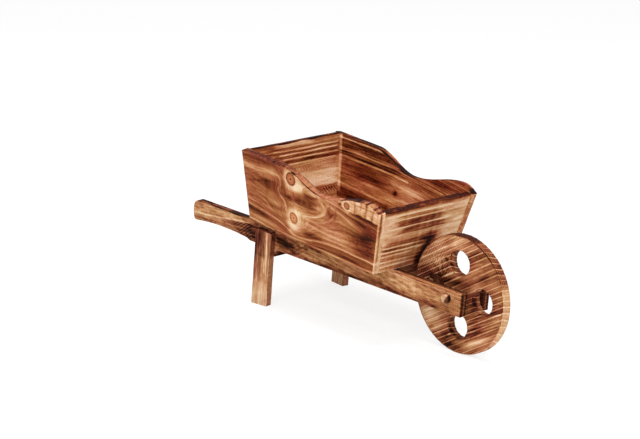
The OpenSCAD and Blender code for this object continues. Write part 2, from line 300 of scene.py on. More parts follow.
def eased_block(lows, highs, steps, ease=EASE):
    """A block between two corners, with its round edges and its quads."""
    points, quads = block_skin(*(lines_of(a, b, s, ease) for a, b, s in zip(lows, highs, steps)))
    return eased(points, lows, highs, ease), quads


sample = eased_block((0, 0, 0), (20, 20, 10), (1, 1, 1))
print("a block of 20 x 20 x 10 mm has", len(sample[0]), "points and", len(sample[1]), "quads")

# %% [markdown]
# Three measures of a surface are needed on the way: where it faces, so that the grain
# can sink into it, how much it encloses, which also shows whether it is inside out, and
# how a square cross-section turns round, as on the handles' ends and on the dowel.

# %% Normals, volume and roundness
def normals_of(points, quads):
    """Unit normals: round each point, the sum of the cross products of the quads' diagonals."""
    across = np.cross(points[quads[:, 2]] - points[quads[:, 0]],
                      points[quads[:, 3]] - points[quads[:, 1]])
    total = np.zeros_like(points)
    for corner in range(4):
        np.add.at(total, quads[:, corner], across)
    return total / np.linalg.norm(total, axis=1, keepdims=True)


def volume_of(points, quads):
    """Volume inside a closed surface: each quad's two triangles span a pyramid to the origin, and
    their signed volumes add up. It is negative where the faces point inwards."""
    a, b, c, d = (points[quads[:, i]] for i in range(4))
    return (np.einsum("ij,ij", a, np.cross(b, c)) + np.einsum("ij,ij", a, np.cross(c, d))) / 6


def square_to_round(a, b):
    """A point of a square goes to the circle that has the half width of its own square as radius."""
    reach = np.maximum(np.maximum(abs(a), abs(b)), 1e-9)
    scale = reach / np.maximum(np.hypot(a, b), 1e-9)
    return a * scale, b * scale


print("volume of that block:", round(volume_of(*sample) / 1000, 3), "cm3, against 4 with sharp edges")

# %% [markdown]
# Flamed wood is softwood that a torch has burnt and a wire brush has cleaned. Between
# two growth rings the soft spring wood chars and is brushed away a little, while the
# hard late wood stays as a thin pale line that stands up. Knots keep a pale halo. All
# of this follows the tree, not the surface, so it is worked out in the board's own
# coordinates: u along the grain, v across the board and w through it. Each point
# keeps its ring number and how hard the flame hit it, and the shader draws from them.
# On a few pieces that burn also holds painted shade.

# %% Soft steps and noise
def smooth(low, high, value):
    """A soft step: 0 up to low, 1 from high on, and three squares less two cubes between."""
    t = np.clip((value - low) / (high - low), 0, 1)
    return t * t * (3 - 2 * t)


def stretch(value, start, full, waning, end):
    """A soft step up from start to full, times a soft step down from waning to end."""
    return smooth(start, full, value) * smooth(end, waning, value)


def bell(value, middle, width):
    """1 at the middle, and e to the power of minus (distance over width) squared round it."""
    return np.exp(-((value - middle) / width) ** 2)


def mixed(tone, other, share):
    """A tone on its way to another: tone plus share times (other less tone)."""
    return tone + share * (other - tone)


def cloud(points, sizes, seed, waves=30):
    """Smooth noise, mostly between -1 and 1: a sum of cosine waves whose directions, lengths
    and starts are drawn from the seed. Sizes says how long its blots are along each axis."""
    draw = np.random.default_rng(seed)
    turn = draw.normal(size=(waves, points.shape[1]))
    turn *= draw.uniform(0.25, 0.75, (waves, 1)) / np.linalg.norm(turn, axis=1, keepdims=True)
    start = draw.uniform(0, 2 * math.pi, waves)
    phase = (points / np.array(sizes)) @ turn.T * 2 * math.pi + start
    return np.cos(phase).sum(1) * math.sqrt(2 / waves) * 0.7

# %% [markdown]
# A tree's rings are near circles round its heart, so a board's ring numbers are simply
# distances from a line, a little disturbed. A knot is a branch that was cut across: it
# gets a distance of its own, which the shader turns into core, rim and halo.

# %% Growth rings and knots
NO_KNOT = 9.0


def log_rings(flat, pith, width, seed, wander=(260, 60, 60), sway=0.5):
    """Ring numbers of a board cut from a log: the distance from the pith line, over the ring
    width. The pith lies at (v, w); it sways along the log and the rings are a little uneven."""
    drift = cloud(flat[:, :1], (300,), seed) * 6
    away = np.hypot(flat[:, 1] - pith[0] - drift, flat[:, 2] - pith[1])
    return away / width + sway * cloud(flat, wander, seed + 1) + 20


def knot_field(flat, knots, depth=0.0):
    """The distance from the nearest knot, in radii of its core, and that knot's tone. A row is (u,
    v, core radius, length over width, the way in which its halo is widest in degrees, tone). Knots
    end a little below their face, from which each point's depth is given."""
    nearest, tone = np.full(len(flat), NO_KNOT), np.full(len(flat), 0.5)
    ragged = 1 + 0.05 * cloud(flat, (9, 9, 40), 90)
    patchy = 0.5 * cloud(flat, (12, 12, 40), 91)
    for u, v, radius, slim, widest, dark in knots:
        du, dv = (flat[:, 0] - u) / slim, flat[:, 1] - v
        away = np.hypot(du, dv) / radius * ragged
        side = np.clip(np.cos(np.arctan2(dv, du) - math.radians(widest)) + patchy, -1.2, 1.2)
        away = np.where(away > 1, 1 + (away - 1) * (0.95 - 0.4 * side), away)
        tone = np.where(away < nearest, dark, tone)
        nearest = np.minimum(nearest, away)
    return nearest + 4 * smooth(0.6, 2.5, depth), tone

# %% [markdown]
# What the torch did is not in the tree: soft blots where it stayed longer, bands that
# end at a ring, and thin bright or dark lines. Painting a picture of them would be
# quicker, but a picture has one resolution and needs unwrapping. Here each mark is a
# row of numbers in millimetres, summed up at the points of the surface.

# %% Blots, bands and lines
def smudges(flat, rows):
    """Sum of soft blots. A row is (u, v, half length, half height, turn in degrees, strength)."""
    total = np.zeros(len(flat))
    for u, v, half_u, half_v, turn, strength in rows:
        along, across = rotated(flat[:, 0] - u, flat[:, 1] - v, -math.radians(turn))
        total += strength * np.exp(-(along / half_u) ** 2 - (across / half_v) ** 2)
    return total


def bands(flat, rows):
    """Sum of burnt bands between two ring lines. A row is (from u, to u, from v, to v, length of
    its soft ends, strength). Each fibre ends at its own place, so the ends look brushed."""
    u = flat[:, 0] + 5 * cloud(flat, (30, 2.4, 9), 94)
    v = flat[:, 1] + 0.35 * cloud(flat, (80, 14, 30), 95)
    total = np.zeros(len(flat))
    for start, end, low, high, soft, strength in rows:
        along = stretch(u, start - soft, start + soft, end - soft, end + soft)
        total += strength * along * stretch(v, low - 0.6, low + 0.6, high - 0.6, high + 0.6)
    return total


def strokes(flat, rows):
    """Soft lines along paths, the strongest at each point. A row is (half width, strength, path),
    and a line's strength falls off with the distance from its nearest straight part as a bell."""
    shake = np.stack([cloud(flat, (16, 9, 40), 92), cloud(flat, (24, 8, 40), 93)], 1)
    shaken = flat[:, :2] + 0.5 * shake
    strongest = np.zeros(len(flat))
    for width, strength, path in rows:
        nearest = np.full(len(flat), 1e9)
        for a, b in zip(np.array(path[:-1], float), np.array(path[1:], float)):
            along = np.clip((shaken - a) @ (b - a) / ((b - a) @ (b - a)), 0, 1)
            nearest = np.minimum(nearest, ((shaken - a - along[:, None] * (b - a)) ** 2).sum(1))
        strongest = np.maximum(strongest, strength * np.exp(-nearest / width ** 2))
    return strongest

# %% [markdown]
# The shader turns those numbers into wood. Everything, from a pale ring line to
# charcoal, is a tone between 0 and 1, and one ramp gives each tone its colour, as more
# fire does with real wood: straw, tan, brown, black. Adding tones keeps the colours
# true where a ring, a blot and a knot meet. Mixing separate materials would not.

# %% The flamed wood material
TONES = [(0.0, screen(234, 206, 172)), (0.14, screen(217, 175, 136)), (0.3, screen(197, 143, 98)),
         (0.45, screen(171, 107, 66)), (0.6, screen(143, 77, 42)), (0.75, screen(108, 45, 19)),
         (0.9, screen(58, 15, 2)), (1.0, screen(24, 4, 0))]
KNOT_TONES = [(0.0, screen(226, 172, 120)), (0.35, screen(196, 126, 80)), (0.6, screen(162, 88, 52)),
              (0.8, screen(122, 58, 32)), (1.0, screen(78, 32, 16))]


def flamed_wood(name, line_share, contrast, fibre, seed, speckle=0.6, bright=0.1, rich=1.0, hue=0.5):
    """Colour and relief from five attributes: grain (u, distance across the rings, w, in metres),
    ring (ring number), scorch (burn, char, knot distance), marks (pale line, how much the rings
    show, saw marks) and worn (how much greyer). Line share is the part of a ring that its pale
    line takes; contrast, fibre, speckle and bright weigh the rings, fibres, pores and lines; rich
    and hue are the colour's saturation and hue."""
    material, tree = new_material(name)
    grain, ring, scorch_and_shade, marks, worn = (
        add_node(tree, "Attribute", attribute_name=label).outputs[output] for label, output in
        (("grain", "Vector"), ("ring", "Fac"), ("scorch_and_shade", "Vector"), ("marks", "Vector"), ("worn", "Fac")))
    # Burn and char hold painted shade as well as fire on a few pieces: the front board beside the wheel,
    # the wheel, the rails' inner faces and the dowel's groove, the dowel, the crossbar and the tie.
    burn, char, knot = add_node(tree, "SeparateXYZ", {0: scorch_and_shade}).outputs
    drawn, shown, sawn = add_node(tree, "SeparateXYZ", {0: marks}).outputs

    def streaks(scale, detail):
        stretched = add_node(tree, "Mapping", {"Vector": grain, "Scale": scale}).outputs[0]
        noise = add_node(tree, "TexNoise", {"Vector": stretched, "Scale": 1.0, "Detail": detail})
        return noise.outputs["Fac"]

    def chain(operation):
        def result_of(*values):
            return functools.reduce(lambda so_far, value: sum_of(tree, operation, so_far, value), values)
        return result_of

    def centred(value):
        return sum_of(tree, "SUBTRACT", value, 0.5)

    times, added = chain("MULTIPLY"), chain("ADD")

    long_fibres, short_fibres = streaks((15, 300, 70), 4.0), streaks((55, 640, 160), 3.0)
    hairs = streaks((160, 1500, 500), 2.0)
    pores, patches = streaks((330, 620, 330), 2.0), streaks((22, 60, 60), 2.0)
    # Rings: a pale late line, then spring wood that burns darker towards the next line
    wobble = sum_of(tree, "MULTIPLY_ADD", long_fibres, 0.2, ring)
    place, number = sum_of(tree, "FRACT", wobble), sum_of(tree, "FLOOR", wobble)
    chance = add_node(tree, "TexWhiteNoise", {"W": added(number, seed)}, noise_dimensions="1D")
    chance = chance.outputs["Value"]
    band = ramp_of(tree, place, [
        (0.0, 0.0), (line_share * 0.7, 0.1), (line_share * 1.6, 0.75), (0.5, 0.6),
        (1 - line_share * 1.8, 1.0), (1 - line_share * 0.7, 0.35), (1.0, 0.0)])
    line = ramp_of(tree, place, [(0.0, 1.0), (line_share, 0.0), (1 - line_share, 0.0), (1.0, 1.0)])
    gate = add_node(tree, "MapRange", {"Value": burn, "From Min": 0.05, "From Max": 0.55,
                                       "To Min": 0.3, "To Max": 1.0}).outputs[0]
    rings = times(sum_of(tree, "SUBTRACT", band, 0.6), sum_of(tree, "MULTIPLY_ADD", chance, 0.9, 0.5),
                  contrast)
    rings = added(rings, times(line, chance, chance, -3 * bright), times(centred(chance), 0.1))
    fibres = added(times(centred(long_fibres), fibre * 1.3), times(centred(short_fibres), fibre * 2.3),
                   times(centred(hairs), fibre * 2.0))
    hairline = ramp_of(tree, short_fibres, [(0.47, 0.0), (0.495, 1.0), (0.52, 0.0)])
    speck = ramp_of(tree, pores, [(0.58, 0.0), (0.7, 1.0)])
    wave = add_node(tree, "TexWave", {
        "Vector": grain, "Scale": 120.0, "Distortion": 3.0, "Detail": 2.0, "Detail Scale": 2.0},
        bands_direction="X").outputs["Fac"]
    # Knots: round them the wood stays pale
    bent = sum_of(tree, "MULTIPLY_ADD", centred(pores), 0.25, knot)
    halo = ramp_of(tree, times(bent, 0.4), [
        (0.385, 0.0), (0.44, 0.75), (0.5, 0.95), (0.62, 0.8), (0.78, 0.35), (0.96, 0.0)])
    plain = sum_of(tree, "SUBTRACT", 1.0, halo)
    tone = added(times(burn, plain), times(halo, 0.13), times(rings, gate, shown, plain), fibres,
                 times(hairline, -0.35 * fibre), times(speck, speckle * fibre),
                 times(centred(wave), sawn, 0.3), times(drawn, -0.42))
    soot = sum_of(tree, "MULTIPLY_ADD", centred(pores), 0.5, times(char, 1.1))
    tone = sum_of(tree, "MAXIMUM", tone, soot, clamp=True)
    colour = ramp_of(tree, tone, TONES)
    warm = add_node(tree, "HueSaturation", {
        "Hue": sum_of(tree, "MULTIPLY_ADD", centred(patches), -0.04, hue),
        "Saturation": sum_of(tree, "SUBTRACT", rich, worn),
        "Value": 1.0, "Fac": 1.0, "Color": colour}).outputs[0]
    # Their cores have rings of their own, redder than the rest, inside a dark rim
    circles = ramp_of(tree, bent, [
        (0.0, 1.0), (0.16, 0.9), (0.28, 0.1), (0.46, 0.3), (0.58, 0.6), (0.7, 0.25), (0.84, 0.8),
        (0.94, 1.15), (1.0, 0.9)])
    core_tone = added(burn, times(sum_of(tree, "SUBTRACT", circles, 0.4), 0.6),
                      times(centred(hairs), 0.3))
    core = ramp_of(tree, core_tone, KNOT_TONES)
    in_core = ramp_of(tree, times(bent, 0.5), [(0.46, 1.0), (0.54, 0.0)])
    painted = add_node(tree, "Mix", {0: in_core, 6: warm, 7: core}, data_type="RGBA").outputs[2]
    height = added(times(line, 0.5), times(long_fibres, 0.5), short_fibres, times(hairs, 0.5),
                   times(wave, sawn))
    bump = add_node(tree, "Bump", {"Strength": 0.45, "Distance": 0.0005, "Height": height})
    rough = sum_of(tree, "MULTIPLY_ADD", short_fibres, 0.2, 0.6)
    wood = add_node(tree, "BsdfPrincipled", {
        "Base Color": painted, "Roughness": rough, "Specular IOR Level": 0.06,
        "Normal": bump.outputs[0]})
    add_node(tree, "OutputMaterial", {"Surface": wood.outputs[0]})
    print(name, "has", len(tree.nodes), "nodes")
    return material


box_wood = flamed_wood("flamed_box_boards", 0.14, 0.3, 0.19, 3.0)
swept_wood = flamed_wood("flamed_swept_boards", 0.13, 0.22, 0.19, 7.0)
rail_wood = flamed_wood("flamed_rails", 0.14, 0.16, 0.2, 11.0, speckle=1.4, rich=0.95, hue=0.507)
leg_wood = flamed_wood("flamed_legs", 0.14, 0.3, 0.22, 17.0, rich=0.93, hue=0.503)
floor_wood = flamed_wood("flamed_floor", 0.12, 0.3, 0.2, 23.0)
wheel_wood = flamed_wood("flamed_wheel", 0.11, 0.31, 0.17, 29.0, bright=0.13, rich=0.96, hue=0.502)
dowel_wood = flamed_wood("plain_dowel", 0.1, 0.15, 0.2, 31.0, rich=0.85, hue=0.507)

# %% [markdown]
# One function turns a surface and its wood into a finished piece: it sinks the spring
# wood by up to 0.3 mm, writes the five attributes and hands the piece to the frame. A
# modifier could sink the wood too, but it would not keep the places of the nails whole.

# %% Making a piece
WAVINESS, NAIL_COVER = 0.05, 0.07
made_triangles = {}
NO_MARKS = {"char": 0.0, "knot": NO_KNOT, "line": 0.0, "shown": 1.0, "sawn": 0.0, "worn": 0.0}


def add_piece(node, material, points, quads, flat, wood, body="barrow", relief=0.2, ring_mm=5.0,
              cover=(), look="flamed_"):
    """A piece that stands for a CAD node. Its points are given in mm on the ground and again in
    board coordinates, for which wood gives ring, burn and more. The spring wood sinks by the
    relief, the more the farther it is from a ring line; over a hidden nail, at (u, v) in cover,
    the face stays whole."""
    name = look + node
    made = {key: np.broadcast_to(value, len(flat)) for key, value in (NO_MARKS | wood(flat)).items()}
    ring, burn = made["ring"], np.clip(made["burn"], -0.15, 1.1)
    if volume_of(points, quads) < 0:
        quads = quads[:, ::-1]
    outward = normals_of(points, quads)
    near_line = abs(ring - np.round(ring))
    sunk = relief * smooth(0.05, 0.2, near_line)
    sunk = sunk * np.clip(0.2 + burn, 0, 1) * np.clip(made["shown"], 0, 1)
    sunk = sunk * smooth(0.8, 1.6, made["knot"]) + WAVINESS * (1 + cloud(flat, (12, 5, 5), 77))
    for u, v in cover:
        away = np.hypot(flat[:, 0] - u, flat[:, 1] - v)
        whole = sunk * smooth(1.5, 4, away) - NAIL_COVER * smooth(3.5, 1.8, away)
        sunk = np.where(flat[:, 2] < 2, whole, sunk)
    points = points - outward * sunk[:, None]
    mesh = bpy.data.meshes.new(name)
    mesh.from_pydata((points * MM).tolist(), [], quads.tolist())
    mesh.polygons.foreach_set("use_smooth", np.ones(len(quads), bool))
    flow = np.stack([flat[:, 0], ring * ring_mm, flat[:, 2]], 1) * MM
    for label, values in (("grain", flow), ("ring", ring), ("worn", made["worn"]),
                          ("scorch_and_shade", np.stack([burn, made["char"], made["knot"]], 1)),
                          ("marks", np.stack([made["line"], made["shown"], made["sawn"]], 1))):
        kind, field = ("FLOAT_VECTOR", "vector") if values.ndim == 2 else ("FLOAT", "value")
        stored = mesh.attributes.new(label, kind, "POINT").data
        stored.foreach_set(field, values.astype(np.float32).ravel())
    mesh.materials.append(material)
    mesh.validate()
    mesh.update()
    piece = bpy.data.objects.new(name, mesh)
    bpy.context.collection.objects.link(piece)
    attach(piece, body)
    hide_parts(node)
    made_triangles[name] = 2 * len(quads)
    off = abs(np.array([points.min(0), points.max(0)]) - np.array(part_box(node)) / MM).max()
    print(f"{name}: {2 * len(quads)} triangles, {volume_of(points, quads) / 1000:.1f} cm3,",
          f"box within {off:.2f} mm of its solid's")


def on_side(points, side):
    """The right-hand piece as it is for side -1, or its left-hand twin."""
    return points * np.array([1, -side, 1])

# %% [markdown]
# The swept side boards carry the look of the whole planter. Each is one wide board that
# leans outwards, cut level at the foot, with an S from its high back down to a dip and
# up again to a hump. A straight board is bent into that outline column by column,
# which keeps a row of points on the rim. A cut with a boolean would leave slivers there.

# %% The outline of a side board
RIM_ROUNDS = 12
corner_x = front_x + FRONT_H * math.tan(FRONT_LEAN)


def rim_height(x):
    """Height of the rim: level, half a cosine wave down to the dip, half a wave up to the
    crest, and a quarter wave down to the front corner."""
    down = np.clip((x - BOX_X - SWEEP_X) / (DIP_X - SWEEP_X), 0, 1)
    crest_x = corner_x - CREST_BACK
    up = np.clip((x - BOX_X - DIP_X) / (crest_x - BOX_X - DIP_X), 0, 1)
    fall = np.clip((x - crest_x) / CREST_BACK, 0, 1)
    swept = BACK_H + (DIP_H - BACK_H) * (1 - np.cos(math.pi * down)) / 2
    swept = swept + (CREST_H - DIP_H) * (1 - np.cos(math.pi * up)) / 2
    return swept - (CREST_H - FRONT_H) * (1 - np.cos(math.pi / 2 * fall))


def side_board_surface():
    """Board coordinates: x along the frame, height above the rails, depth from the outer face.
    A column keeps its share of the board's length, and runs from the level foot to the rim."""
    points, quads = eased_block((0, 0, 0), (BOX_LEN, BACK_H, BOARD_T), (1.2, 0.85, 1.5))
    share, rise, depth = points[:, 0] / BOX_LEN, points[:, 1] / BACK_H, points[:, 2]

    def x_at(height):
        back, front = -height * math.tan(TAIL_SLOPE), height * math.tan(FRONT_LEAN)
        return BOX_X + back + share * (BOX_LEN + front - back)

    # The rim's height and its place along the board depend on each other, so they take turns
    rim = np.full(len(points), BACK_H)
    for _ in range(RIM_ROUNDS):
        rim = rim_height(x_at(rim))
    foot = -depth * math.sin(SIDE_LEAN)
    height = foot + rise * (rim - foot)
    return np.stack([x_at(height), height, depth], 1), quads


def leaning(height, depth, lean):
    """How far out and how high a leaning board's point lies: the depth runs square to the face,
    so it takes depth times cosine off the one and adds depth times sine to the other."""
    return height * math.tan(lean) - depth * math.cos(lean), seat_z + height + depth * math.sin(lean)


side_len = corner_x - BOX_X + BACK_H * math.tan(TAIL_SLOPE)
print("a side board is", round(side_len, 1), "mm long at its corners")

# %% [markdown]
# The near side board shows its outer face, with two knots and the pale lines that bend
# round them. Its ring numbers come from a thin-plate spline: a few dozen marks say
# which ring passes where, and the spline bends a sheet through all of them. Plain
# noise would give wood too, but never this board.

# %% Rings through given places
def spline_field(flat, marks, squeeze=0.55, give=4.0):
    """Thin-plate spline through marks (u, v, number). Each mark adds its weight times distance
    squared times the logarithm of the distance, over a tilted plane; u is squeezed first,
    because rings run along the grain. The more it may give, the smoother it passes them."""
    marks = np.array(marks, float)
    spots = marks[:, :2] * (squeeze, 1)

    def bend(places):
        square = ((places[:, None] - spots) ** 2).sum(-1)
        return square * np.log(square + 1e-9) * 0.5

    count = len(marks)
    system = np.zeros((count + 3, count + 3))
    plane = np.column_stack([np.ones(count), spots])
    system[:count, :count] = bend(spots) + give * np.eye(count)
    system[:count, count:], system[count:, :count] = plane, plane.T
    weights = np.linalg.solve(system, np.concatenate([marks[:, 2], np.zeros(3)]))
    places = flat[:, :2] * (squeeze, 1)
    tilted = np.column_stack([np.ones(len(places)), places]) @ weights[count:]
    return bend(places) @ weights[:count] + tilted

# %% [markdown]
# The marks of the near side board: ring numbers at places, knots, pale lines, blots,
# bands and dark lines, with the reddish marks of its pale hump and the tones of its
# rim. All are in millimetres along the frame and above the rails.

# %% Marks of the near side board
NEAR_MARKS = [
    (97, 4, 1), (125, 1.5, 1), (97, 23, 2), (130, 18, 2), (160, 10, 2), (180, 5, 2), (215, 9.5, 2),
    (250, 13, 2), (285, 14, 2), (322, 14, 2), (97, 13, 1.6), (130, 9, 1.55), (200, 0, 1.5),
    (260, 3, 1.4), (320, 3, 1.3), (97, 77, 3), (125, 78, 3), (146, 77, 3), (160, 68, 3),
    (157, 58, 3), (165, 48, 3), (169, 40, 3), (198, 37, 3), (220, 42, 3), (238, 51, 3),
    (241, 59, 3), (235, 66, 3), (220, 68, 3), (208, 71, 3), (182, 29, 3.4), (181, 79, 3.8),
    (200, 56, 3.5), (182, 56, 3.45), (226, 57, 3.3), (175, 64, 3.4), (97, 89, 3.5), (130, 90, 3.5),
    (97, 66, 2.8), (125, 64, 2.8), (97, 50, 2.6), (125, 45, 2.6), (145, 42, 2.72), (97, 36, 2.35),
    (135, 33, 2.45), (182, 14, 2.5), (215, 26, 2.5), (250, 24, 2.3), (285, 26, 2.35),
    (325, 26, 2.35), (250, 42, 2.65), (285, 42, 2.6), (325, 42, 2.6), (256, 57, 2.8), (268, 60, 3),
    (290, 55, 3), (310, 50, 3), (332, 48, 3), (240, 74, 3.3), (280, 72, 3.5), (320, 70, 3.5),
    (330, 84, 4)]
NEAR_KNOTS = [
    (181, 78.5, 8.2, 1.0, -50, 0.54), (182, 28.5, 6.9, 1.0, -75, 0.34), (279, 74, 4.4, 1.15, 20, 0.55)]
NEAR_LINES = [
    (1.3, 0.75, [(88, 24), (112, 22.5), (130, 20), (150, 17), (163, 13.5), (172, 9.5), (180, 6.8),
        (190, 6), (205, 8), (220, 11), (240, 13.5), (262, 14.5), (290, 14), (328, 14)]),
    (1.3, 0.8, [(88, 4.5), (110, 3.5), (125, 2), (142, 0)]),
    (1.0, 0.7, [(150, 77), (157, 76), (161, 72), (160.5, 66), (157, 60), (157.5, 55), (161, 51),
        (166, 47), (169, 42), (168, 35)]),
    (1.3, 0.7, [(192, 40), (200, 36.5), (210, 38), (222, 42), (232, 47), (238, 51), (241, 56),
        (240, 60.5), (235, 64)]), (1.3, 0.4, [(235, 64), (226, 67), (214, 69.5)]),
    (1.5, 0.45, [(222, 70), (236, 66.5), (246, 64), (256, 62), (266, 60), (278, 56), (290, 52),
        (302, 49)]), (5.0, 0.62, [(86, 76), (125, 75.5), (147, 76.5)]),
    (5.0, 0.7, [(188, 69), (198, 72), (207, 74.5)]), (3.0, 0.5, [(204, 74), (214, 73), (230, 71)]),
    (4.5, 0.5, [(190, 38), (206, 36)]), (4.0, 0.5, [(172, 19), (184, 15)]),
    (1.2, 0.35, [(97, 30), (130, 29), (160, 24)]), (1.0, 0.3, [(100, 45), (135, 42), (158, 36)]),
    (1.1, 0.35, [(205, 28), (245, 25), (290, 27)]), (1.0, 0.3, [(200, 22), (240, 20), (285, 21)]),
    (1.1, 0.3, [(212, 34), (250, 33), (280, 36)]),
    (1.2, 0.35, [(242, 71), (262, 68), (290, 63), (325, 60)]),
    (1.0, 0.3, [(262, 44), (285, 42), (300, 40)]),
    (1.2, 0.5, [(150, 2), (200, 2.5), (262, 1.5), (322, 2)])]
NEAR_FLAME = [
    (120, 87, 48, 4.0, 0, 0.24), (104, 66, 30, 5, -8, 0.12), (136, 57, 20, 5, 4, 0.17),
    (166, 64, 5, 8, 0, 0.1), (168, 53, 6, 8, 0, 0.04), (130, 36, 40, 9, -3, -0.06),
    (118, 16, 44, 4.2, -6, 0.2), (118, 9, 40, 2.6, -5, -0.12), (168, 13, 10, 4, -20, 0.08),
    (234, 57, 6, 8, 0, -0.1), (214, 16, 16, 5, 6, 0.2), (270, 7, 62, 4.2, 2, 0.2),
    (308, 36, 20, 22, 0, 0.24), (324, 54, 14, 12, 0, 0.14), (235, 30, 36, 9, 3, -0.06),
    (290, 24, 26, 8, 0, 0.08), (250, 54, 9, 6, 0, 0.14), (232, 77, 26, 4, -3, -0.1),
    (150, 30, 12, 8, 0, 0.05), (266, 69, 22, 5, -6, 0.06), (270, 72, 5, 2.4, 0, 0.55),
    (284, 69.5, 7, 1.8, 0, 0.4), (268, 77.5, 5, 1.5, 18, 0.4), (296, 68, 9, 1.3, 0, 0.35),
    (318, 67, 12, 1.2, 0, 0.3)]
NEAR_BANDS = [(172, 224, 49, 67, 5, 0.23), (196, 222, 44, 53, 8, 0.08), (288, 330, 20, 62, 9, 0.06)]
NEAR_DARK = [
    (1.9, 0.08, [(90, 18.5), (112, 17), (130, 14), (150, 10.5), (165, 7)]),
    (2.2, 0.1, [(215, 8), (245, 11), (290, 11.3), (326, 11)]),
    (1.2, 0.16, [(205, 3), (250, 4.5), (300, 4.5), (322, 5)]),
    (1.4, 0.14, [(249, 63), (246.5, 57), (249, 50)]),
    (1.4, 0.14, [(258, 61), (259.5, 55), (256, 50)]),
    (1.2, 0.12, [(173, 40), (168, 50), (170, 60)]), (1.4, 0.1, [(104, 56), (128, 62), (150, 66)]),
    (1.1, 0.12, [(100, 36), (130, 34), (160, 31)]), (1.1, 0.1, [(210, 31), (250, 29), (295, 31)]),
    (1.2, 0.16, [(262, 65), (285, 61), (310, 57)]),
    (1.8, 0.22, [(284, 67), (296, 65.5), (314, 65), (333, 64)])]
HUMP_LINES = [
    (1.1, 0.36, [(291, 68), (293, 77), (292, 84)]),
    (0.9, 0.22, [(301, 67), (302.5, 76), (305, 86)]),
    (1.5, 0.34, [(310, 66), (311, 75), (314.5, 86)]), (1.2, 0.3, [(321, 67), (323, 77), (327, 85)]),
    (0.9, 0.26, [(286, 79.5), (300, 80), (332, 80.5)]),
    (0.8, 0.16, [(290, 73), (310, 73.5), (332, 73)]), (2.6, 0.6, [(264, 72.5), (268, 73.5)]),
    (1.6, 0.5, [(270, 69.5), (276, 69)]), (1.6, 0.36, [(284, 78), (287, 75)]),
    (0.8, 0.4, [(268, 78.5), (285, 83), (300, 86)])]
RIM_TONES = [(97, 0.82), (176, 0.8), (184, 0.66), (200, 0.54), (225, 0.56), (250, 0.56), (266, 0.55),
             (290, 0.55), (335, 0.54)]


print(len(NEAR_MARKS), "ring marks,", len(NEAR_KNOTS), "knots,", len(NEAR_LINES), "pale lines")

# %% [markdown]
# With the marks in place, the wood is a sum: an even tone with soft clouds, the marks
# of its outer face, and then the places that are different from the rest, each mixed
# in by its own share: the pale hump, the rim's own face, the sawn end and the knots.

# %% Wood of the near side board
def board_end(flat):
    """1 on the sawn front end of a side board, 0 on its faces."""
    return smooth(1.3, 0.5, front_x + flat[:, 1] * math.tan(FRONT_LEAN) - flat[:, 0])


def rim_soot(flat, seed, back=1.0, sweep=0.45, hump=0.2):
    """Charcoal on the rim's own face and just below it, patchy as a torch leaves it. It has one
    strength on the back run, one in the sweep and one on the hump."""
    u, height, _ = flat.T
    hit = back + (sweep - back) * smooth(160, 200, u) + (hump - sweep) * smooth(240, 265, u)
    below = rim_height(u) - height + 0.9 * cloud(flat, (22, 5, 5), seed)
    return hit * smooth(2.4, 0.1, below) * (0.78 + 0.2 * cloud(flat, (14, 6, 6), seed + 1))


def near_side_wood(flat):
    """Rings bend round two knots, and the outer face has blots, bands and lines of its own."""
    u, v, w = flat.T
    outer = smooth(7, 3, w)
    field = spline_field(flat, NEAR_MARKS) + 0.002 * w
    burn = 0.515 + 0.07 * cloud(flat, (70, 12, 10), 6) + 0.05 * cloud(flat, (24, 5, 8), 7)
    burn += outer * (smudges(flat, NEAR_FLAME) + bands(flat, NEAR_BANDS))
    burn += (1 - outer) * 0.15 * cloud(flat, (90, 22, 30), 8)
    burn += outer * strokes(flat, NEAR_DARK)
    # The hump was never burnt: a pale patch with reddish marks across it
    patch_foot = np.interp(u, [262, 268, 288, 340], [79, 71, 67.5, 67])
    patch_foot += 1.5 * cloud(flat, (9, 6, 20), 11)
    patch = outer * smooth(-1.4, 1.4, v - patch_foot) * smooth(261, 267, u)
    marked = strokes(flat, HUMP_LINES)
    marked += 0.07 * cloud(flat, (7, 5, 9), 12) + 0.06 * cloud(flat, (3, 14, 9), 13)
    burn = mixed(burn, 0.19 + marked, 0.95 * patch)
    # The rim's own face is brown, and black along its inner edge in the sweep
    rim = smooth(0.6, 0.15, rim_height(u) - v)
    rim_tone = np.interp(u, *np.transpose(RIM_TONES)) + 0.05 * cloud(flat, (20, 5, 3), 15)
    rim_tone += 0.4 * bell(w, 0.6, 0.7) * stretch(u, 184, 190, 222, 236)
    rim_tone += smooth(262, 275, u) * (1.2 * marked + 0.45 * bell(w, 8.6, 1.0) + 0.2 * bell(w, 1, 0.6))
    burn = mixed(burn, rim_tone, rim)
    # So is a line on the sawn end, which is pale otherwise
    end = board_end(flat)
    brown_line = smooth(4, 26, v) * bell(w, 3.6, 1.3)
    burn = mixed(burn, 0.16 + 0.5 * brown_line + 0.12 * cloud(flat, (30, 12, 3), 14), end)
    soot = rim_soot(flat, 9, hump=0.0) * np.where(w > 7, 1.2, 0.75) * (1 - end) * (1 - 0.4 * rim)
    at_sweep = 0.95 * bell(u, 185, 6) * smooth(5, 3, w)
    inner_edge = 0.85 * smooth(8.2, 9.4, w) * stretch(u, 188, 196, 240, 262)
    soot = np.maximum(soot, rim * np.maximum(at_sweep, inner_edge))
    knot, knot_tone = knot_field(flat, NEAR_KNOTS, w)
    even = smudges(flat, [(200, 57, 34, 13, 0, 0.85), (314, 42, 26, 22, 0, 0.75)])
    burn = mixed(burn, knot_tone, smooth(1.25, 1.0, knot))
    return {"ring": field * 4, "burn": burn, "char": np.clip(soot, 0, 1), "knot": knot,
            "line": outer * strokes(flat, NEAR_LINES) * (1 - patch) * (1 - rim),
            "worn": 0.07 * rim, "shown": 0.3 * (1 - patch) * (1 - even)}
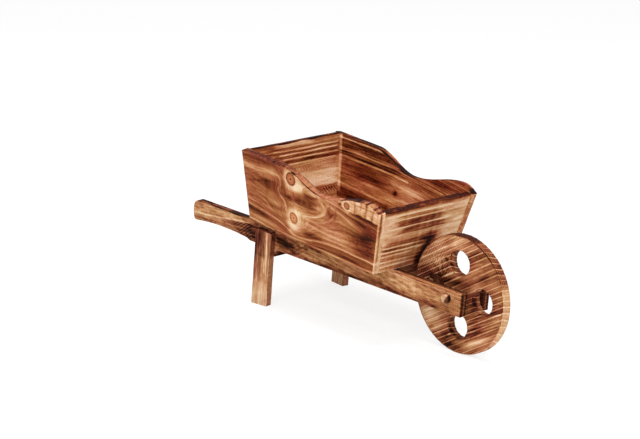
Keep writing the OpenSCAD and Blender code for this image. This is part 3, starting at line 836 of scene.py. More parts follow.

# %% [markdown]
# The far side board turns its inner face to the camera. A log's rings, cut lengthwise,
# run nearly straight there, so the ring numbers are simply distances from the heart of
# a log, with a bump round a small knot. Bands and blots are laid over them.

# %% Wood of the far side board
FAR_FLAME = [
    (160, 54, 36, 12, 0, 0.17), (172, 53, 24, 8, 0, 0.04), (112, 46, 6, 20, 0, -0.06),
    (234, 48, 26, 15, 0, -0.2), (208, 34, 14, 6, 0, -0.14), (214, 44, 3.6, 3, 0, 0.5),
    (214, 45, 9, 6, 0, 0.14), (290, 76, 30, 8, 0, 0.16), (300, 60, 30, 10, 0, 0.06)]
FAR_BANDS = [
    (96, 206, 87, 95, 8, 0.3), (96, 200, 78.6, 84.8, 12, 0.32), (96, 212, 74, 78, 12, 0.28),
    (96, 214, 65.4, 71, 10, 0.3), (104, 198, 44, 63, 10, 0.12), (108, 196, 32, 36, 12, 0.06),
    (108, 214, 14, 27.4, 8, 0.26), (214, 300, 72, 79, 8, 0.16), (212, 300, 66.5, 69.5, 10, 0.08)]
FAR_LINES = [
    (1.1, 0.75, [(98, 87), (140, 86.5), (196, 86)]),
    (1.0, 0.8, [(108, 73), (150, 73), (205, 72), (240, 69), (290, 64)]),
    (1.1, 0.7, [(112, 65.5), (150, 65.5), (200, 64.5), (230, 62.5)]),
    (0.8, 0.35, [(110, 81), (150, 80.5), (190, 80)]),
    (1.2, 0.5, [(112, 31.5), (160, 30), (200, 26)]), (0.9, 0.3, [(120, 42), (160, 41), (190, 43)]),
    (0.9, 0.4, [(206, 77), (240, 74), (285, 69)]), (1.0, 0.3, [(205, 54), (240, 52), (262, 50)]),
    (0.8, 0.5, [(108, 76), (160, 76), (205, 75)]), (0.8, 0.35, [(110, 69), (160, 69), (210, 68)]),
    (0.8, 0.35, [(104, 90), (150, 89.6), (180, 89)]), (0.9, 0.3, [(112, 27), (160, 26), (196, 23)])]


def far_side_wood(flat):
    """Blots and bands on the inner face, and a pale strip beside the back board."""
    u, v, w = flat.T
    inner = smooth(3, 7, w)
    knot = np.hypot((u - 214) / 1.2, v - 44)
    ring = log_rings(flat, (-70, 62), 5.2, 21, sway=0.4) + 0.9 * bell(knot, 0, 8)
    burn = 0.56 + 0.06 * cloud(flat, (80, 9, 12), 22) + 0.06 * cloud(flat, (26, 4, 8), 23)
    burn += inner * (smudges(flat, FAR_FLAME) + bands(flat, FAR_BANDS))
    back_corner = floor_start - v * math.tan(BACK_LEAN)
    beside = u - back_corner + 0.5 * cloud(flat, (9, 12, 9), 25)
    strip = inner * smooth(5.0, 3.4, beside) * smooth(18, 26, v)
    burn = mixed(burn, 0.46 + 0.1 * cloud(flat, (30, 10, 4), 26), board_end(flat))
    soot = np.clip(rim_soot(flat, 24, 1.12, 1.15, 1.05), 0, 1)
    return {"ring": ring, "burn": burn - 0.42 * strip, "char": soot,
            "line": inner * strokes(flat, FAR_LINES), "shown": 0.4 + 0.5 * smooth(58, 70, v)}

# %% [markdown]
# Both boards have one surface, turned over for the left side. On the real planter the
# nail heads can't be made out, so the wood is kept whole over them.

# %% Side boards
def side_brad_spots():
    """Where nails go in on the outer face: up both ends, and two into the floor."""
    spots = [(floor_start + FLOOR_BRAD_INSET, FLOOR_T / 2), (floor_end - FLOOR_BRAD_INSET, FLOOR_T / 2)]
    for start, lean, top in ((back_foot + back_level / 2, -BACK_LEAN, BACK_H),
                             (front_x - front_level / 2, FRONT_LEAN, FRONT_H)):
        spots += [(start + h * math.tan(lean), h) for h in (BRAD_INSET, top / 2, top - BRAD_INSET)]
    return spots


flat, quads = side_board_surface()
out, up = leaning(flat[:, 1], flat[:, 2], SIDE_LEAN)
placed = on_ground(flat[:, 0], -box_w / 2 - out, up)
for which, wood, ring_mm in (("right", near_side_wood, 8.75), ("left", far_side_wood, 5.2)):
    add_piece("side_board_" + which, swept_wood, on_side(placed, SIDES[which]), quads,
              flat, wood, ring_mm=ring_mm, cover=side_brad_spots())

# %% [markdown]
# The back and front boards stand between the sides, so their ends are cut to the sides'
# lean: narrow at the foot and wide at the top. Their grain runs across the barrow, and
# the heart of the log lies well beyond one edge, so the rings are straight stripes.

# %% Shape of an end board
HALF_BLOCK = 60.0


def end_board_surface(height, lean):
    """Board coordinates: across the barrow, height above the rails, depth from the outer face.
    The half width grows with the level height, as the gap between the sides does."""
    points, quads = eased_block((-HALF_BLOCK, 0, 0), (HALF_BLOCK, height, BOARD_T), (1.3, 0.85, 1.6))
    across, rise, depth = points[:, 0] / HALF_BLOCK, points[:, 1] / height, points[:, 2]
    foot = -depth * math.sin(lean)
    up = foot + rise * (height - foot)
    level_height = up + depth * math.sin(lean)
    half = floor_half + level_height * math.tan(SIDE_LEAN)
    return np.stack([across * half, up, depth], 1), quads

# %% [markdown]
# The front board shows its outer face, pale, with brown bands that come in from the
# left and end like brush strokes. The back board shows its inner face, with stripes at
# the top and the marks of a coarse saw below. Both are made as the side boards' wood is.

# %% Wood of the end boards
# The first four blots, low down beside the wheel, are the wheel's shade on the board, painted dark, and
# the thin fifth above them carries it on; the others are burn.
FRONT_FLAME_AND_WHEEL_SHADE = [
    (15, 34, 14, 4.5, 0, 0.42), (17, 28, 10, 8, 0, 0.6), (11, 18, 8, 10, 0, 0.7),
    (5, 4, 8, 12, 0, 0.8), (18, 39, 14, 3, -8, 0.16), (-14, 61, 12, 4, 0, 0.12),
    (10, 63, 9, 4, 0, 0.12), (-56, 73, 10, 4.5, 0, -0.1), (-62, 45, 7, 24, 0, -0.06),
    (48, 46, 24, 16, 0, -0.04)]
FRONT_BANDS = [
    (-46, 28, 56.6, 65.4, 7, 0.5), (26, 62, 59, 66, 9, 0.14), (-42, 24, 67.2, 71.8, 9, 0.34),
    (-62, 62, 74.5, 80, 9, 0.22), (-38, 28, 47, 55.2, 8, 0.44), (22, 48, 47, 53, 8, 0.16),
    (-62, 26, 37.5, 46, 12, 0.18), (-58, 14, 31.6, 37.6, 8, 0.46), (-63, 6, 26.2, 30.6, 6, 0.5),
    (-63, 4, 20.8, 25, 6, 0.4), (-63, 2, 13.6, 19.8, 7, 0.3), (-63, 0, 8, 12.6, 7, 0.24),
    (-54, -2, 1, 6.8, 9, 0.28), (-66, 66, 38, 66, 14, 0.02)]
FRONT_LINES = [
    (0.8, 0.45, [(-60, 66), (-20, 66.3), (30, 66.5)]),
    (0.9, 0.6, [(-60, 55.9), (-10, 55.9), (40, 56.2)]),
    (0.9, 0.7, [(-60, 31), (-35, 31.3), (-12, 31.5)]),
    (0.9, 0.7, [(-60, 25.6), (-35, 25.6), (-12, 26.2)]),
    (0.9, 0.6, [(-60, 20.3), (-35, 20.6), (-14, 21)]),
    (0.9, 0.5, [(-60, 13), (-35, 13.5), (-18, 13)]),
    (0.8, 0.5, [(-50, 72.3), (0, 72.3), (40, 72.6)]), (1.0, 0.4, [(-60, 7.5), (-20, 7.5)]),
    (1.6, 0.3, [(-55, 44), (-20, 43.5), (20, 43)])]
BACK_FLAME = [
    (-42, 82, 22, 5, 0, 0.14), (56, 57, 8, 4, 0, 0.14), (30, 40, 40, 8, 0, -0.06),
    (58, 71, 7, 4, 0, 0.08)]
BACK_BANDS = [
    (-32, 24, 84.6, 89, 9, -0.3), (24, 70, 84.6, 89, 9, 0.1), (-74, -36, 85.4, 89.6, 8, 0.24),
    (-60, 70, 81.6, 83.8, 9, 0.16), (-60, 70, 76.6, 79.6, 9, 0.2), (-44, 70, 70.8, 74.6, 9, 0.28),
    (-36, 70, 64.2, 68.8, 9, 0.27), (-20, 61, 30, 49, 9, -0.34), (16, 61, 15, 28.6, 7, 0.1)]
BACK_LINES = [
    (0.9, 0.9, [(-40, 80.2), (0, 80.4), (66, 80.7)]),
    (0.9, 0.9, [(-30, 75.4), (10, 75.5), (64, 75.8)]),
    (0.9, 0.9, [(-24, 69.6), (20, 69.6), (64, 70)]),
    (1.2, 0.8, [(-18, 62.8), (20, 62.8), (60, 63)]), (0.9, 0.5, [(-50, 90), (0, 90), (66, 90)]),
    (1.0, 0.4, [(0, 49.8), (34, 49.6), (60, 50)])]


def front_wood(flat):
    """Pale wood with burnt bands from the left edge, the wheel's shade painted dark beside it, and
    charcoal along the rim.
    """
    u, v, w = flat.T
    outer = smooth(7, 3, w)
    ring = log_rings(flat, (150, 30), 4.4, 31, wander=(300, 80, 60), sway=0.3)
    burn = 0.19 + 0.05 * cloud(flat, (60, 7, 12), 32) + 0.06 * cloud(flat, (20, 3, 8), 33)
    burn += outer * (smudges(flat, FRONT_FLAME_AND_WHEEL_SHADE) + bands(flat, FRONT_BANDS))
    burn += (1 - outer) * (0.3 + 0.1 * cloud(flat, (60, 18, 30), 34))
    burn += outer * 0.05 * cloud(flat, (3, 30, 20), 37) * smooth(0.25, 0.45, burn)
    low = FRONT_H - v + 0.7 * cloud(flat, (16, 5, 5), 35)
    burn += outer * 0.3 * smooth(4.2, 2.0, low) * smooth(60, 20, u)
    soot = smooth(2.0, 0.4, low) * (0.84 + 0.05 * cloud(flat, (40, 6, 3), 36))
    return {"ring": ring, "burn": burn, "char": soot,
            "line": outer * strokes(flat, FRONT_LINES), "shown": 0.4}


def back_wood(flat):
    """Stripes in the inner face's upper half, and marks of the saw below them."""
    u, v, w = flat.T
    inner = smooth(3, 7, w)
    knot, knot_tone = knot_field(flat, [(-22, 58, 5.0, 1.2, 0, 0.6)], w)
    ring = log_rings(flat, (-140, -20), 4.8, 41, wander=(300, 80, 60), sway=0.25)
    ring += 0.6 * bell(knot, 0, 2.4)
    burn = 0.46 + 0.05 * cloud(flat, (60, 7, 12), 42) + 0.05 * cloud(flat, (20, 4, 8), 43)
    burn += inner * (smudges(flat, BACK_FLAME) + bands(flat, BACK_BANDS))
    # Marks of the saw: fine ones below the bands, and a hatched corner
    hatch = np.sin((u + 0.75 * v) * 1.45 + 0.6 * cloud(flat, (8, 8, 20), 44))
    corner = stretch(u, 36, 40, 57, 61) * stretch(v, 18, 20, 26, 29)
    fine = stretch(u, -5, 2, 18, 24) * stretch(v, 52, 54, 58, 61)
    burn += inner * (0.34 * corner + 0.16 * fine) * hatch + smooth(1.1, 0.95, knot) * (knot_tone - burn)
    soot = smooth(2.4, 0.3, BACK_H - v + 0.8 * cloud(flat, (16, 5, 5), 45))
    soot *= 0.9 + 0.2 * cloud(flat, (12, 6, 6), 46)
    return {"ring": ring, "burn": burn, "char": soot, "knot": knot,
            "line": inner * strokes(flat, BACK_LINES), "shown": 1 - inner * 0.7,
            "sawn": 0.3 * inner * smooth(66, 60, v)}

# %% [markdown]
# The two differ only in height, lean, place, wood and the way they face, so one loop
# makes both, with the wood whole over the nails that hold them to the floor.

# %% End boards
end_brad_y = (floor_half + FLOOR_GAP / 2) / 2
for name, height, lean, x, outward, wood in (
        ("back_board", BACK_H, BACK_LEAN, back_foot, -1, back_wood),
        ("front_board", FRONT_H, FRONT_LEAN, front_x, 1, front_wood)):
    flat, quads = end_board_surface(height, lean)
    out, up = leaning(flat[:, 1], flat[:, 2], lean)
    placed = on_ground(x + outward * out, flat[:, 0], up)
    add_piece(name, box_wood, placed, quads, flat, wood,
              cover=[(-end_brad_y, FLOOR_T / 2), (end_brad_y, FLOOR_T / 2)])

# %% [markdown]
# Two boards make the floor, with a slit between them that lets water out. They lie on
# the rails inside the four box boards. The camera sees only a sliver of them, but from
# above they are the ground of the picture, so they get the same care.

# %% Floor boards
def floor_wood_marks(flat, seed):
    """Plain wood with one knot, whose place depends on the seed."""
    knot, knot_tone = knot_field(flat, [(170 + 40 * (seed % 2), -30, 4.5, 1.1, 0, 0.6)])
    ring = log_rings(flat, (-26, 30), 6.0, seed) + 0.7 * bell(knot, 0, 2.5)
    burn = 0.45 + 0.12 * cloud(flat, (80, 16, 14), seed + 2) + 0.08 * cloud(flat, (26, 5, 8), seed + 3)
    return {"ring": ring, "burn": mixed(burn, knot_tone, smooth(1.1, 0.95, knot)), "knot": knot}


flat, quads = eased_block((floor_start, -floor_half, 0), (floor_end, -FLOOR_GAP / 2, FLOOR_T),
                          (1.6, 0.9, 1.6))
placed = on_ground(flat[:, 0], flat[:, 1], seat_z + FLOOR_T - flat[:, 2])
for which, side in SIDES.items():
    add_piece("floor_board_" + which, floor_wood, on_side(placed, side), quads, flat,
              functools.partial(floor_wood_marks, seed=51 + 7 * side))

# %% [markdown]
# The rails turn in towards the wheel, and their back ends are the handles. A handle has
# a round end, a hollow for the fingers below, and a bevel on its lower outer edge that
# widens towards the leg. The block's corners are turned round by sending squares to
# circles, so the long lines of points follow the shaped edge.

# %% Shape of a rail
axle_along = axle_x / math.cos(toe)
BEVEL_SHARP = 0.25
# Lattice lines beside the axle, which are circles up to one reach and squares from another
AXLE_LINES, AXLE_LINE_ROOM, CIRCLES_TO, SQUARES_FROM = (4.8, 5.3, 5.8, 6.4), 0.35, 6.4, 9.5
# The groove that is left round the dowel, on points this near to a face
GROOVE_R, GROOVE_DEPTH, GROOVE_SHIFT, NEAR_FACE = 5.35, 1.1, 0.35, 0.3


def bevel_line(along):
    """Height of the bevel's upper edge: it rises from the handle's end to the end of the grip."""
    return BEVEL_START + along * (BEVEL_STOP - BEVEL_START) / GRIP_LEN


def rail_cut(along, height):
    """Depth of the bevel: it grows below its line, and a steep ramp ends it. Its edge is rounded
    by the logarithm of one plus e to the depth."""
    below = (bevel_line(along) - height) * math.tan(BEVEL_ANGLE)
    ramp = np.maximum(along - GRIP_LEN, 0) * BEVEL_STOP * math.sin(BEVEL_ANGLE) / BEVEL_RAMP
    return BEVEL_SHARP * np.logaddexp(0, (below - ramp) / BEVEL_SHARP)


def round_grip_end(along, height, radius):
    """The corner square of this width at the rail's end becomes a quarter disc."""
    a, b = np.maximum(radius - along, 0), np.maximum(radius - height, 0)
    corner = (a > 0) & (b > 0)
    ra, rb = square_to_round(a, b)
    return np.where(corner, radius - ra, along), np.where(corner, radius - rb, height)


def hollow_grip(along, height):
    """A circle's arc pushes the lower edge up by the scallop, and the rest of the grip less."""
    radius = ((GRIP_LEN / 2) ** 2 + SCALLOP ** 2) / (2 * SCALLOP)
    hollow = np.sqrt(np.maximum(radius ** 2 - (along - GRIP_LEN / 2) ** 2, 0)) - radius + SCALLOP
    return height + np.maximum(hollow, 0) * (1 - height / RAIL_H)


def ring_the_axle(along, height, depth):
    """Round the axle the lattice turns from squares to circles, with a groove beside the dowel."""
    middle = axle_along + depth * math.tan(toe)
    a, b = along - middle, height - AXLE_UP
    reach = np.maximum(abs(a), abs(b))
    ra, rb = square_to_round(a, b)
    roundness = smooth(SQUARES_FROM, CIRCLES_TO, reach)
    from_groove = reach - GROOVE_R - GROOVE_SHIFT * np.cos(np.arctan2(rb, ra))
    groove = GROOVE_DEPTH * smooth(0.45, 0.1, from_groove)
    on_face = abs(depth - RAIL_T / 2) > RAIL_T / 2 - NEAR_FACE
    depth = depth + np.sign(RAIL_T / 2 - depth) * groove * on_face
    return middle + mixed(a, ra, roundness), AXLE_UP + mixed(b, rb, roundness), depth


def rail_surface():
    """Rail coordinates: length, height, depth from the outer face."""
    lines = [lines_of(0, rail_len, 1.5), lines_of(0, RAIL_H, 0.85), lines_of(0, RAIL_T, 1.3)]
    for axis, middle in ((0, axle_along), (1, AXLE_UP)):
        near = middle + np.outer((-1, 1), AXLE_LINES).ravel()
        clear = abs(lines[axis][:, None] - near).min(1) > AXLE_LINE_ROOM
        lines[axis] = np.sort(np.concatenate([lines[axis][clear], near]))
    points, quads = block_skin(*lines)
    along, height, depth = eased(points, (0, 0, 0), (rail_len, RAIL_H, RAIL_T)).T
    along, height = round_grip_end(along, height, GRIP_LOW_R)
    along, from_top = round_grip_end(along, RAIL_H - height, GRIP_TOP_R)
    height = hollow_grip(along, RAIL_H - from_top)
    along, height, depth = ring_the_axle(along, height, depth)
    depth = depth + rail_cut(along, height) * (1 - depth / RAIL_T)
    return np.stack([along, height, depth], 1), quads


def along_rail(along, out, up):
    """From rail coordinates to the ground, by the toe angle from the right handle's outer corner."""
    x, y = rotated(along, out, toe)
    return on_ground(x, y - HANDLE_SPREAD / 2, up)

# %% [markdown]
# A rail's rings are narrower than the boards'. The saw left slanting marks on the
# bevel, the box keeps the flame off part of the top, and the sawn end of the nose is
# burnt darker than the faces.

# %% Rails
RAIL_FLAME = [
    (158, 12, 13, 6, 0, 0.4), (146, 15, 12, 6, 0, 0.2), (174, 7, 12, 4, 8, 0.2),
    (106, 10, 8, 20, 0, 0.3), (180, 14, 22, 3.5, -6, 0.14), (230, 2, 60, 1.8, 0, 0.16),
    (330, 2, 60, 1.6, 0, 0.2), (200, 3, 30, 3, 0, 0.12), (250, 2.5, 60, 2.5, 0, 0.14),
    (262, 17, 30, 4, -4, -0.06), (345, 20, 26, 6, 0, -0.08), (385, 5, 26, 5, 4, 0.26),
    (412, 12, 10, 16, 0, 0.1), (20, 18, 24, 6, 0, -0.1), (60, 21, 26, 4, 3, -0.06),
    (24, 6, 22, 3, 0, 0.08), (182, 16, 10, 3, 0, 0.1), (320, 6, 30, 4, 0, 0.1)]


def rail_wood_marks(flat, seed):
    """A sawn bevel on the grip, burnt edges, a darker nose, and painted shade on the inner face by the
    wheel and round the dowel.
    """
    u, v, w = flat.T
    outer = smooth(6, 3, w)
    ring = log_rings(flat, (70, 25), 3.6, seed, wander=(300, 30, 30), sway=0.5)
    burn = 0.47 + 0.06 * cloud(flat, (50, 7, 9), seed + 2) + 0.09 * cloud(flat, (7, 2.6, 5), seed + 3)
    burn += outer * smudges(flat, RAIL_FLAME) + 0.1 * smooth(60, 110, u) * smooth(320, 260, u)
    above = v - bevel_line(u)
    facet = smooth(104, 96, u) * smooth(0.5, -0.8, above) * outer
    saw = np.sin((u * 0.75 - v) * 1.5 + 0.6 * cloud(flat, (9, 9, 9), seed + 6)) * smooth(66, 80, u)
    burn += facet * (0.03 + 0.26 * smooth(45, 85, u) + 0.15 * saw)
    scratch = outer * stretch(u, 168, 174, 186, 192) * np.maximum(np.sin((u * 0.7 - v) * 1.1), 0) ** 6
    crease = bell(above, 0.4, 1.0) * smooth(100, 90, u) * outer
    # The top face in front of the box is grey brown in stripes, and paler just before the box
    top_edge = smooth(2.6, 0.4, RAIL_H - v + 0.9 * cloud(flat, (18, 4, 4), seed + 4))
    top_face = smooth(0.5, 0.1, RAIL_H - v) * smooth(318, 324, u)
    grey_brown = 0.62 + 0.16 * np.sin(w * 2.6 + 0.5 * cloud(flat, (60, 9, 9), seed + 8))
    grey_brown -= 0.3 * smooth(1.8, 0.6, w) + 0.45 * bell(u, 331, 4) * bell(w, 2.5, 1.6)
    burn = mixed(burn, grey_brown, top_face)
    # The inner face is painted darker from 200 mm on, for the shade between the wheel and the box; the
    # sawn end of the nose is burnt dark
    burn += (1 - outer) * 0.34 * smooth(200, 250, u)
    burn = mixed(burn, 0.92 - 0.3 * bell(w, 5, 1.2), smooth(1.2, 0.5, rail_len - u))
    ahead = u - axle_along
    # Painted shade: a dark ring in the groove round the dowel, on its front half only.
    groove = (abs(ahead) < 12) * bell(np.hypot(ahead, v - AXLE_UP), 5.4, 0.7) * smooth(-6, 4, ahead)
    open_top = smooth(98, 92, u) + 0.8 * smooth(318, 330, u) * (1 - top_face)
    hollow_up = SCALLOP * smooth(44, 8, abs(u - 44))
    low_edge = smooth(2.4, 0.4, v - hollow_up + 0.7 * cloud(flat, (16, 4, 4), seed + 7)) * 0.62
    low_edge = np.where(u > 190, 0.6 * low_edge, low_edge)
    ends = smooth(1.1, 0.2, np.minimum(rail_len - u, u)) * smooth(1.5, 0.4, np.minimum(w, RAIL_T - w))
    soot = top_edge * np.clip(open_top, 0.3, 1) * (0.8 + 0.16 * cloud(flat, (12, 4, 3), seed + 5))
    soot = np.maximum.reduce([soot, low_edge, 0.75 * groove, 0.7 * ends])
    return {"ring": ring, "burn": burn - 0.22 * scratch, "char": np.clip(soot, 0, 1),
            "line": 0.6 * crease, "shown": 0.7}


flat, quads = rail_surface()
placed = along_rail(flat[:, 0], flat[:, 2], flat[:, 1])
for which, side in SIDES.items():
    add_piece("rail_" + which, rail_wood, on_side(placed, side), quads, flat,
              functools.partial(rail_wood_marks, seed=61 + 7 * side), relief=0.1)

# %% [markdown]
# The legs are short boards on the rails' outer faces. They stand square to the sloping
# rails, so only the foot is cut at a slant, to lie level on the ground: each point
# keeps its share of the leg's length, and the foot is where the ground is.

# %% Legs
leg_start = (LEG_X + LEG_W / 2) / math.cos(toe) - LEG_W / 2
leg_top = RAIL_H - LEG_DROP
LEG_BLOCK = 100.0


def leg_surface():
    """Leg coordinates: height in the frame, distance from the back edge, depth from the outer
    face. The foot's height is where the sloping frame meets the ground."""
    points, quads = eased_block((0, 0, 0), (LEG_BLOCK, LEG_W, LEG_T), (1.2, 0.7, 1.3))
    share, across, depth = points[:, 0] / LEG_BLOCK, points[:, 1], points[:, 2]
    x, _ = rotated(leg_start + across, depth - LEG_T - JOINT, toe)
    foot = (x * math.sin(PITCH) - frame_z) / math.cos(PITCH)
    return np.stack([mixed(foot, leg_top, share), across, depth], 1), quads


LEG_FLAME = [
    (8, 8, 26, 5, 0, 0.3), (-26, 10, 18, 7, 0, 0.12), (16, 9, 8, 5, 0, 0.12),
    (-62, 16, 19, 7, 0, -0.12), (-62, 4, 20, 4, 0, -0.06), (-20, 20, 30, 3.5, 0, -0.12),
    (4, 20, 20, 2, 0, -0.06), (10, 14, 18, 1.5, 0, 0.16), (10, 22.5, 14, 1.5, 0, 0.1),
    (-36, 14, 10, 4, 0, 0.08)]
LEG_LINES = [
    (0.8, 0.6, [(30, 5), (0, 5.2), (-44, 6)]), (0.7, 0.6, [(26, 19), (0, 20), (-40, 21.5)]),
    (0.8, 0.5, [(26, 16.5), (6, 17), (-30, 17.5)]), (0.8, 0.3, [(-10, 12), (-50, 12.5), (-80, 13)])]


def leg_wood_marks(flat, seed):
    """Darker by the rail and paler below it, with a bare front face and burnt edges."""
    u, v, w = flat.T
    outer = smooth(6, 3, w)
    ring = log_rings(flat, (60, 22), 5.2, seed, wander=(260, 40, 40), sway=0.4)
    burn = 0.33 + 0.17 * smooth(-47, -38, u + 2 * cloud(flat, (9, 4, 9), seed + 6))
    burn += 0.05 * cloud(flat, (40, 5, 8), seed + 2) + 0.06 * cloud(flat, (14, 3, 5), seed + 3)
    burn += outer * smudges(flat, LEG_FLAME)
    burn += 0.12 * outer * smooth(-9.5, -7.5, u + 0.2 * v) * smooth(19, 17, v)
    front_tone = 0.12 - 0.12 * smooth(2.6, 1.2, w) + 0.07 * cloud(flat, (14, 5, 4), seed + 8)
    front_tone += 0.2 * smooth(-34, -22, u) + 0.4 * smooth(-14, -4, u)
    burn = mixed(burn, front_tone, smooth(1.2, 0.5, LEG_W - v)) + 0.06 * (1 - outer)
    soot = 0.8 * smooth(1.6, 0.2, leg_top - u + 0.6 * cloud(flat, (8, 5, 5), seed + 4))
    soot += 0.45 * smooth(1.2, 0.2, np.minimum(v, LEG_W - v) + 0.4 * cloud(flat, (20, 5, 5), seed + 5))
    return {"ring": ring, "burn": burn, "char": np.clip(soot, 0, 1),
            "line": outer * strokes(flat, LEG_LINES), "shown": 0.7}


leg_spots = [(leg_top - RAIL_H / 5, LEG_W / 4), (RAIL_H / 4, 3 * LEG_W / 4),
             (-CROSSBAR_T / 2, LEG_W / 2)]
flat, quads = leg_surface()
placed = along_rail(leg_start + flat[:, 1], flat[:, 2] - LEG_T - JOINT, flat[:, 0])
for which, side in SIDES.items():
    add_piece("leg_" + which, leg_wood, on_side(placed, side), quads, flat,
              functools.partial(leg_wood_marks, seed=81 + 7 * side), cover=leg_spots)

# %% [markdown]
# A crossbar lies flat under the rails between the legs and stops them from spreading.
# A tie does the same under the box's front end, where a dark face shows beside the wheel; its near-black
# colour is partly painted shade.
# Their ends follow the rails, so a point keeps its share of the half length, and the
# half length is worked out anew at each point.

# %% Crossbar and tie
def crossbar_wood(flat):
    """Dark wood, with painted shade under the near rail: its front face is darker on the near side."""
    burn = 0.6 + 0.1 * cloud(flat, (60, 8, 8), 96) + 0.08 * cloud(flat, (20, 4, 5), 97)
    # Painted shade on the front face, on the near side.
    burn += 0.2 * smooth(2.0, 0.6, LEG_X + LEG_W - flat[:, 1]) * smooth(-10, -40, flat[:, 0])
    return {"ring": log_rings(flat, (90, 20), 5.0, 95), "burn": burn}


def tie_wood(flat):
    """Nearly black: burnt dark, with the shade of the gap beside the wheel painted in."""
    # Part of this darkness is painted shade.
    burn = 0.8 + 0.1 * cloud(flat, (30, 6, 8), 98)
    return {"ring": log_rings(flat, (70, 20), 4.5, 99), "burn": burn, "shown": 0.6}


# Crossbar coordinates: across the barrow, length along the frame, depth from its upper face
flat, quads = eased_block((-HALF_BLOCK, LEG_X, 0), (HALF_BLOCK, LEG_X + LEG_W, CROSSBAR_T),
                          (1.5, 0.8, 1.4))
flat[:, 0] *= rail_outer_y(flat[:, 1]) / HALF_BLOCK
placed = on_ground(flat[:, 1], flat[:, 0], -JOINT - flat[:, 2])
add_piece("leg_crossbar", leg_wood, placed, quads, flat, crossbar_wood)
# Tie coordinates: across the barrow, height from its own foot, depth from its front face
flat, quads = eased_block((-HALF_BLOCK, 0, 0), (HALF_BLOCK, TIE_H, TIE_T), (1.5, 0.9, 1.4))
x = tie_end - flat[:, 2]
flat[:, 0] *= (rail_outer_y(x) - RAIL_T / math.cos(toe) - JOINT) / HALF_BLOCK
placed = on_ground(x, flat[:, 0], RAIL_H - TIE_H + flat[:, 1])
add_piece("rail_tie", leg_wood, placed, quads, flat, tie_wood)

# %% [markdown]
# The wheel is one disc sawn from a board, with four round holes and a bore for the
# axle. A disc made of rings of quads would have to be cut for the holes. Instead each
# quarter is a grid that runs from its hole outwards to the quarter's own edge, so
# every hole keeps clean rows of points, and so does the rim.

# %% The wheel's surface
HOLE_EASE, BORE_EASE, BORE_R, HUB_R, WHEEL_STEP = 0.8, 0.5, AXLE_R + RUNNING, 13.0, 1.0
QUARTER = math.pi / 2
RIM_COUNT = round((WHEEL_R - RIM_EASE) * QUARTER / WHEEL_STEP) + 1
HUB_COUNT, SPOKE_COUNT, FACE_COUNT, PLATE_COUNT, CORNER_COUNT, WALL_COUNT = 23, 57, 27, 9, 4, 9
CROWDING = 1.15


def circle(angles):
    """Points of the unit circle at these angles."""
    return np.stack([np.cos(angles), np.sin(angles)], 1)


def quarter_edge():
    """Points round a quarter of the flat face: rim, spoke line, hub and the other spoke line."""
    outer = WHEEL_R - RIM_EASE
    spoke = np.linspace(outer, HUB_R, SPOKE_COUNT)[:, None]
    end = circle(np.array([QUARTER / 2]))
    return np.concatenate([
        outer * circle(np.linspace(-QUARTER / 2, QUARTER / 2, RIM_COUNT))[:-1], (spoke * end)[:-1],
        HUB_R * circle(np.linspace(QUARTER / 2, -QUARTER / 2, HUB_COUNT))[:-1],
        spoke[::-1] * end * (1, -1)])


def turned_by(points, angle):
    """Wheel points turned about the axle."""
    return np.stack([*rotated(points[:, 0], points[:, 1], angle), points[:, 2]], 1)


def edge_profile(radius, ease, grows):
    """Pairs of radius and depth through the wheel: a quarter round, a straight wall and a quarter
    round. The radius is the wall's; grows is 1 where wood lies inside it, and -1 round a hole."""
    bend = np.linspace(0, math.pi / 2, CORNER_COUNT)
    corner = np.stack([radius - grows * ease * (1 - np.sin(bend)), ease * (1 - np.cos(bend))], 1)
    wall = np.linspace(ease, WHEEL_T - ease, WALL_COUNT)[1:-1]
    walls = np.stack([np.full(len(wall), radius), wall], 1)
    return np.concatenate([corner, walls, (corner * (1, -1) + (0, WHEEL_T))[::-1]])


def wheel_surface():
    """Wheel coordinates: forward, up and depth from the right face. In a quarter, each ray from
    the hole's middle runs from the hole's circle to the quarter's edge; the other grids are
    profiles carried round the hole, the rim and the bore."""
    edge = quarter_edge()
    ray = edge - (HOLE_OUT, 0)
    hole_angle, hub_angle = np.arctan2(ray[:, 1], ray[:, 0]), np.arctan2(edge[:, 1], edge[:, 0])
    round_hole = (HOLE_OUT, 0) + (HOLE_R + HOLE_EASE) * circle(hole_angle)
    face = mixed(round_hole, edge, np.linspace(0, 1, FACE_COUNT)[:, None, None] ** CROWDING)
    hub = hub_angle[len(edge) - SPOKE_COUNT - HUB_COUNT + 1:len(edge) - SPOKE_COUNT + 1]

    def carried(profile, angles, middle=(0.0, 0.0)):
        """The profile carried round a circle: a row for each of its points."""
        rows = np.array(middle) + profile[:, :1, None] * circle(angles)
        depth = np.broadcast_to(profile[:, 1][:, None, None], (*rows.shape[:2], 1))
        return np.concatenate([rows, depth], 2)

    grids = []
    for depth, turned in ((0.0, False), (WHEEL_T, True)):
        plate = np.stack([np.linspace(HUB_R, BORE_R + BORE_EASE, PLATE_COUNT),
                          np.full(PLATE_COUNT, depth)], 1)
        grids += [(np.concatenate([face, np.full((*face.shape[:2], 1), depth)], 2), turned),
                  (carried(plate, hub), turned)]
    grids += [(carried(edge_profile(HOLE_R, HOLE_EASE, -1), hole_angle, (HOLE_OUT, 0)), True),
              (carried(edge_profile(WHEEL_R, RIM_EASE, 1), hub_angle[:RIM_COUNT]), False),
              (carried(edge_profile(BORE_R, BORE_EASE, -1), hub), False)]
    parts, quads, count = [], [], 0
    for quarter in range(4):
        for grid, turned in grids:
            parts.append(turned_by(grid.reshape(-1, 3), quarter * QUARTER))
            quads.append(grid_quads(*grid.shape[:2], turned) + count)
            count += len(parts[-1])
    return weld(np.concatenate(parts), np.concatenate(quads))

# %% [markdown]
# The wheel's grain runs up at an angle, because it is drawn as the wheel happened to
# stop. Its board coordinates are turned by that angle, and blots and lines, which were
# placed on the upright wheel, are looked up in upright coordinates. Since both are
# stored at the points, the pattern turns with the wheel.

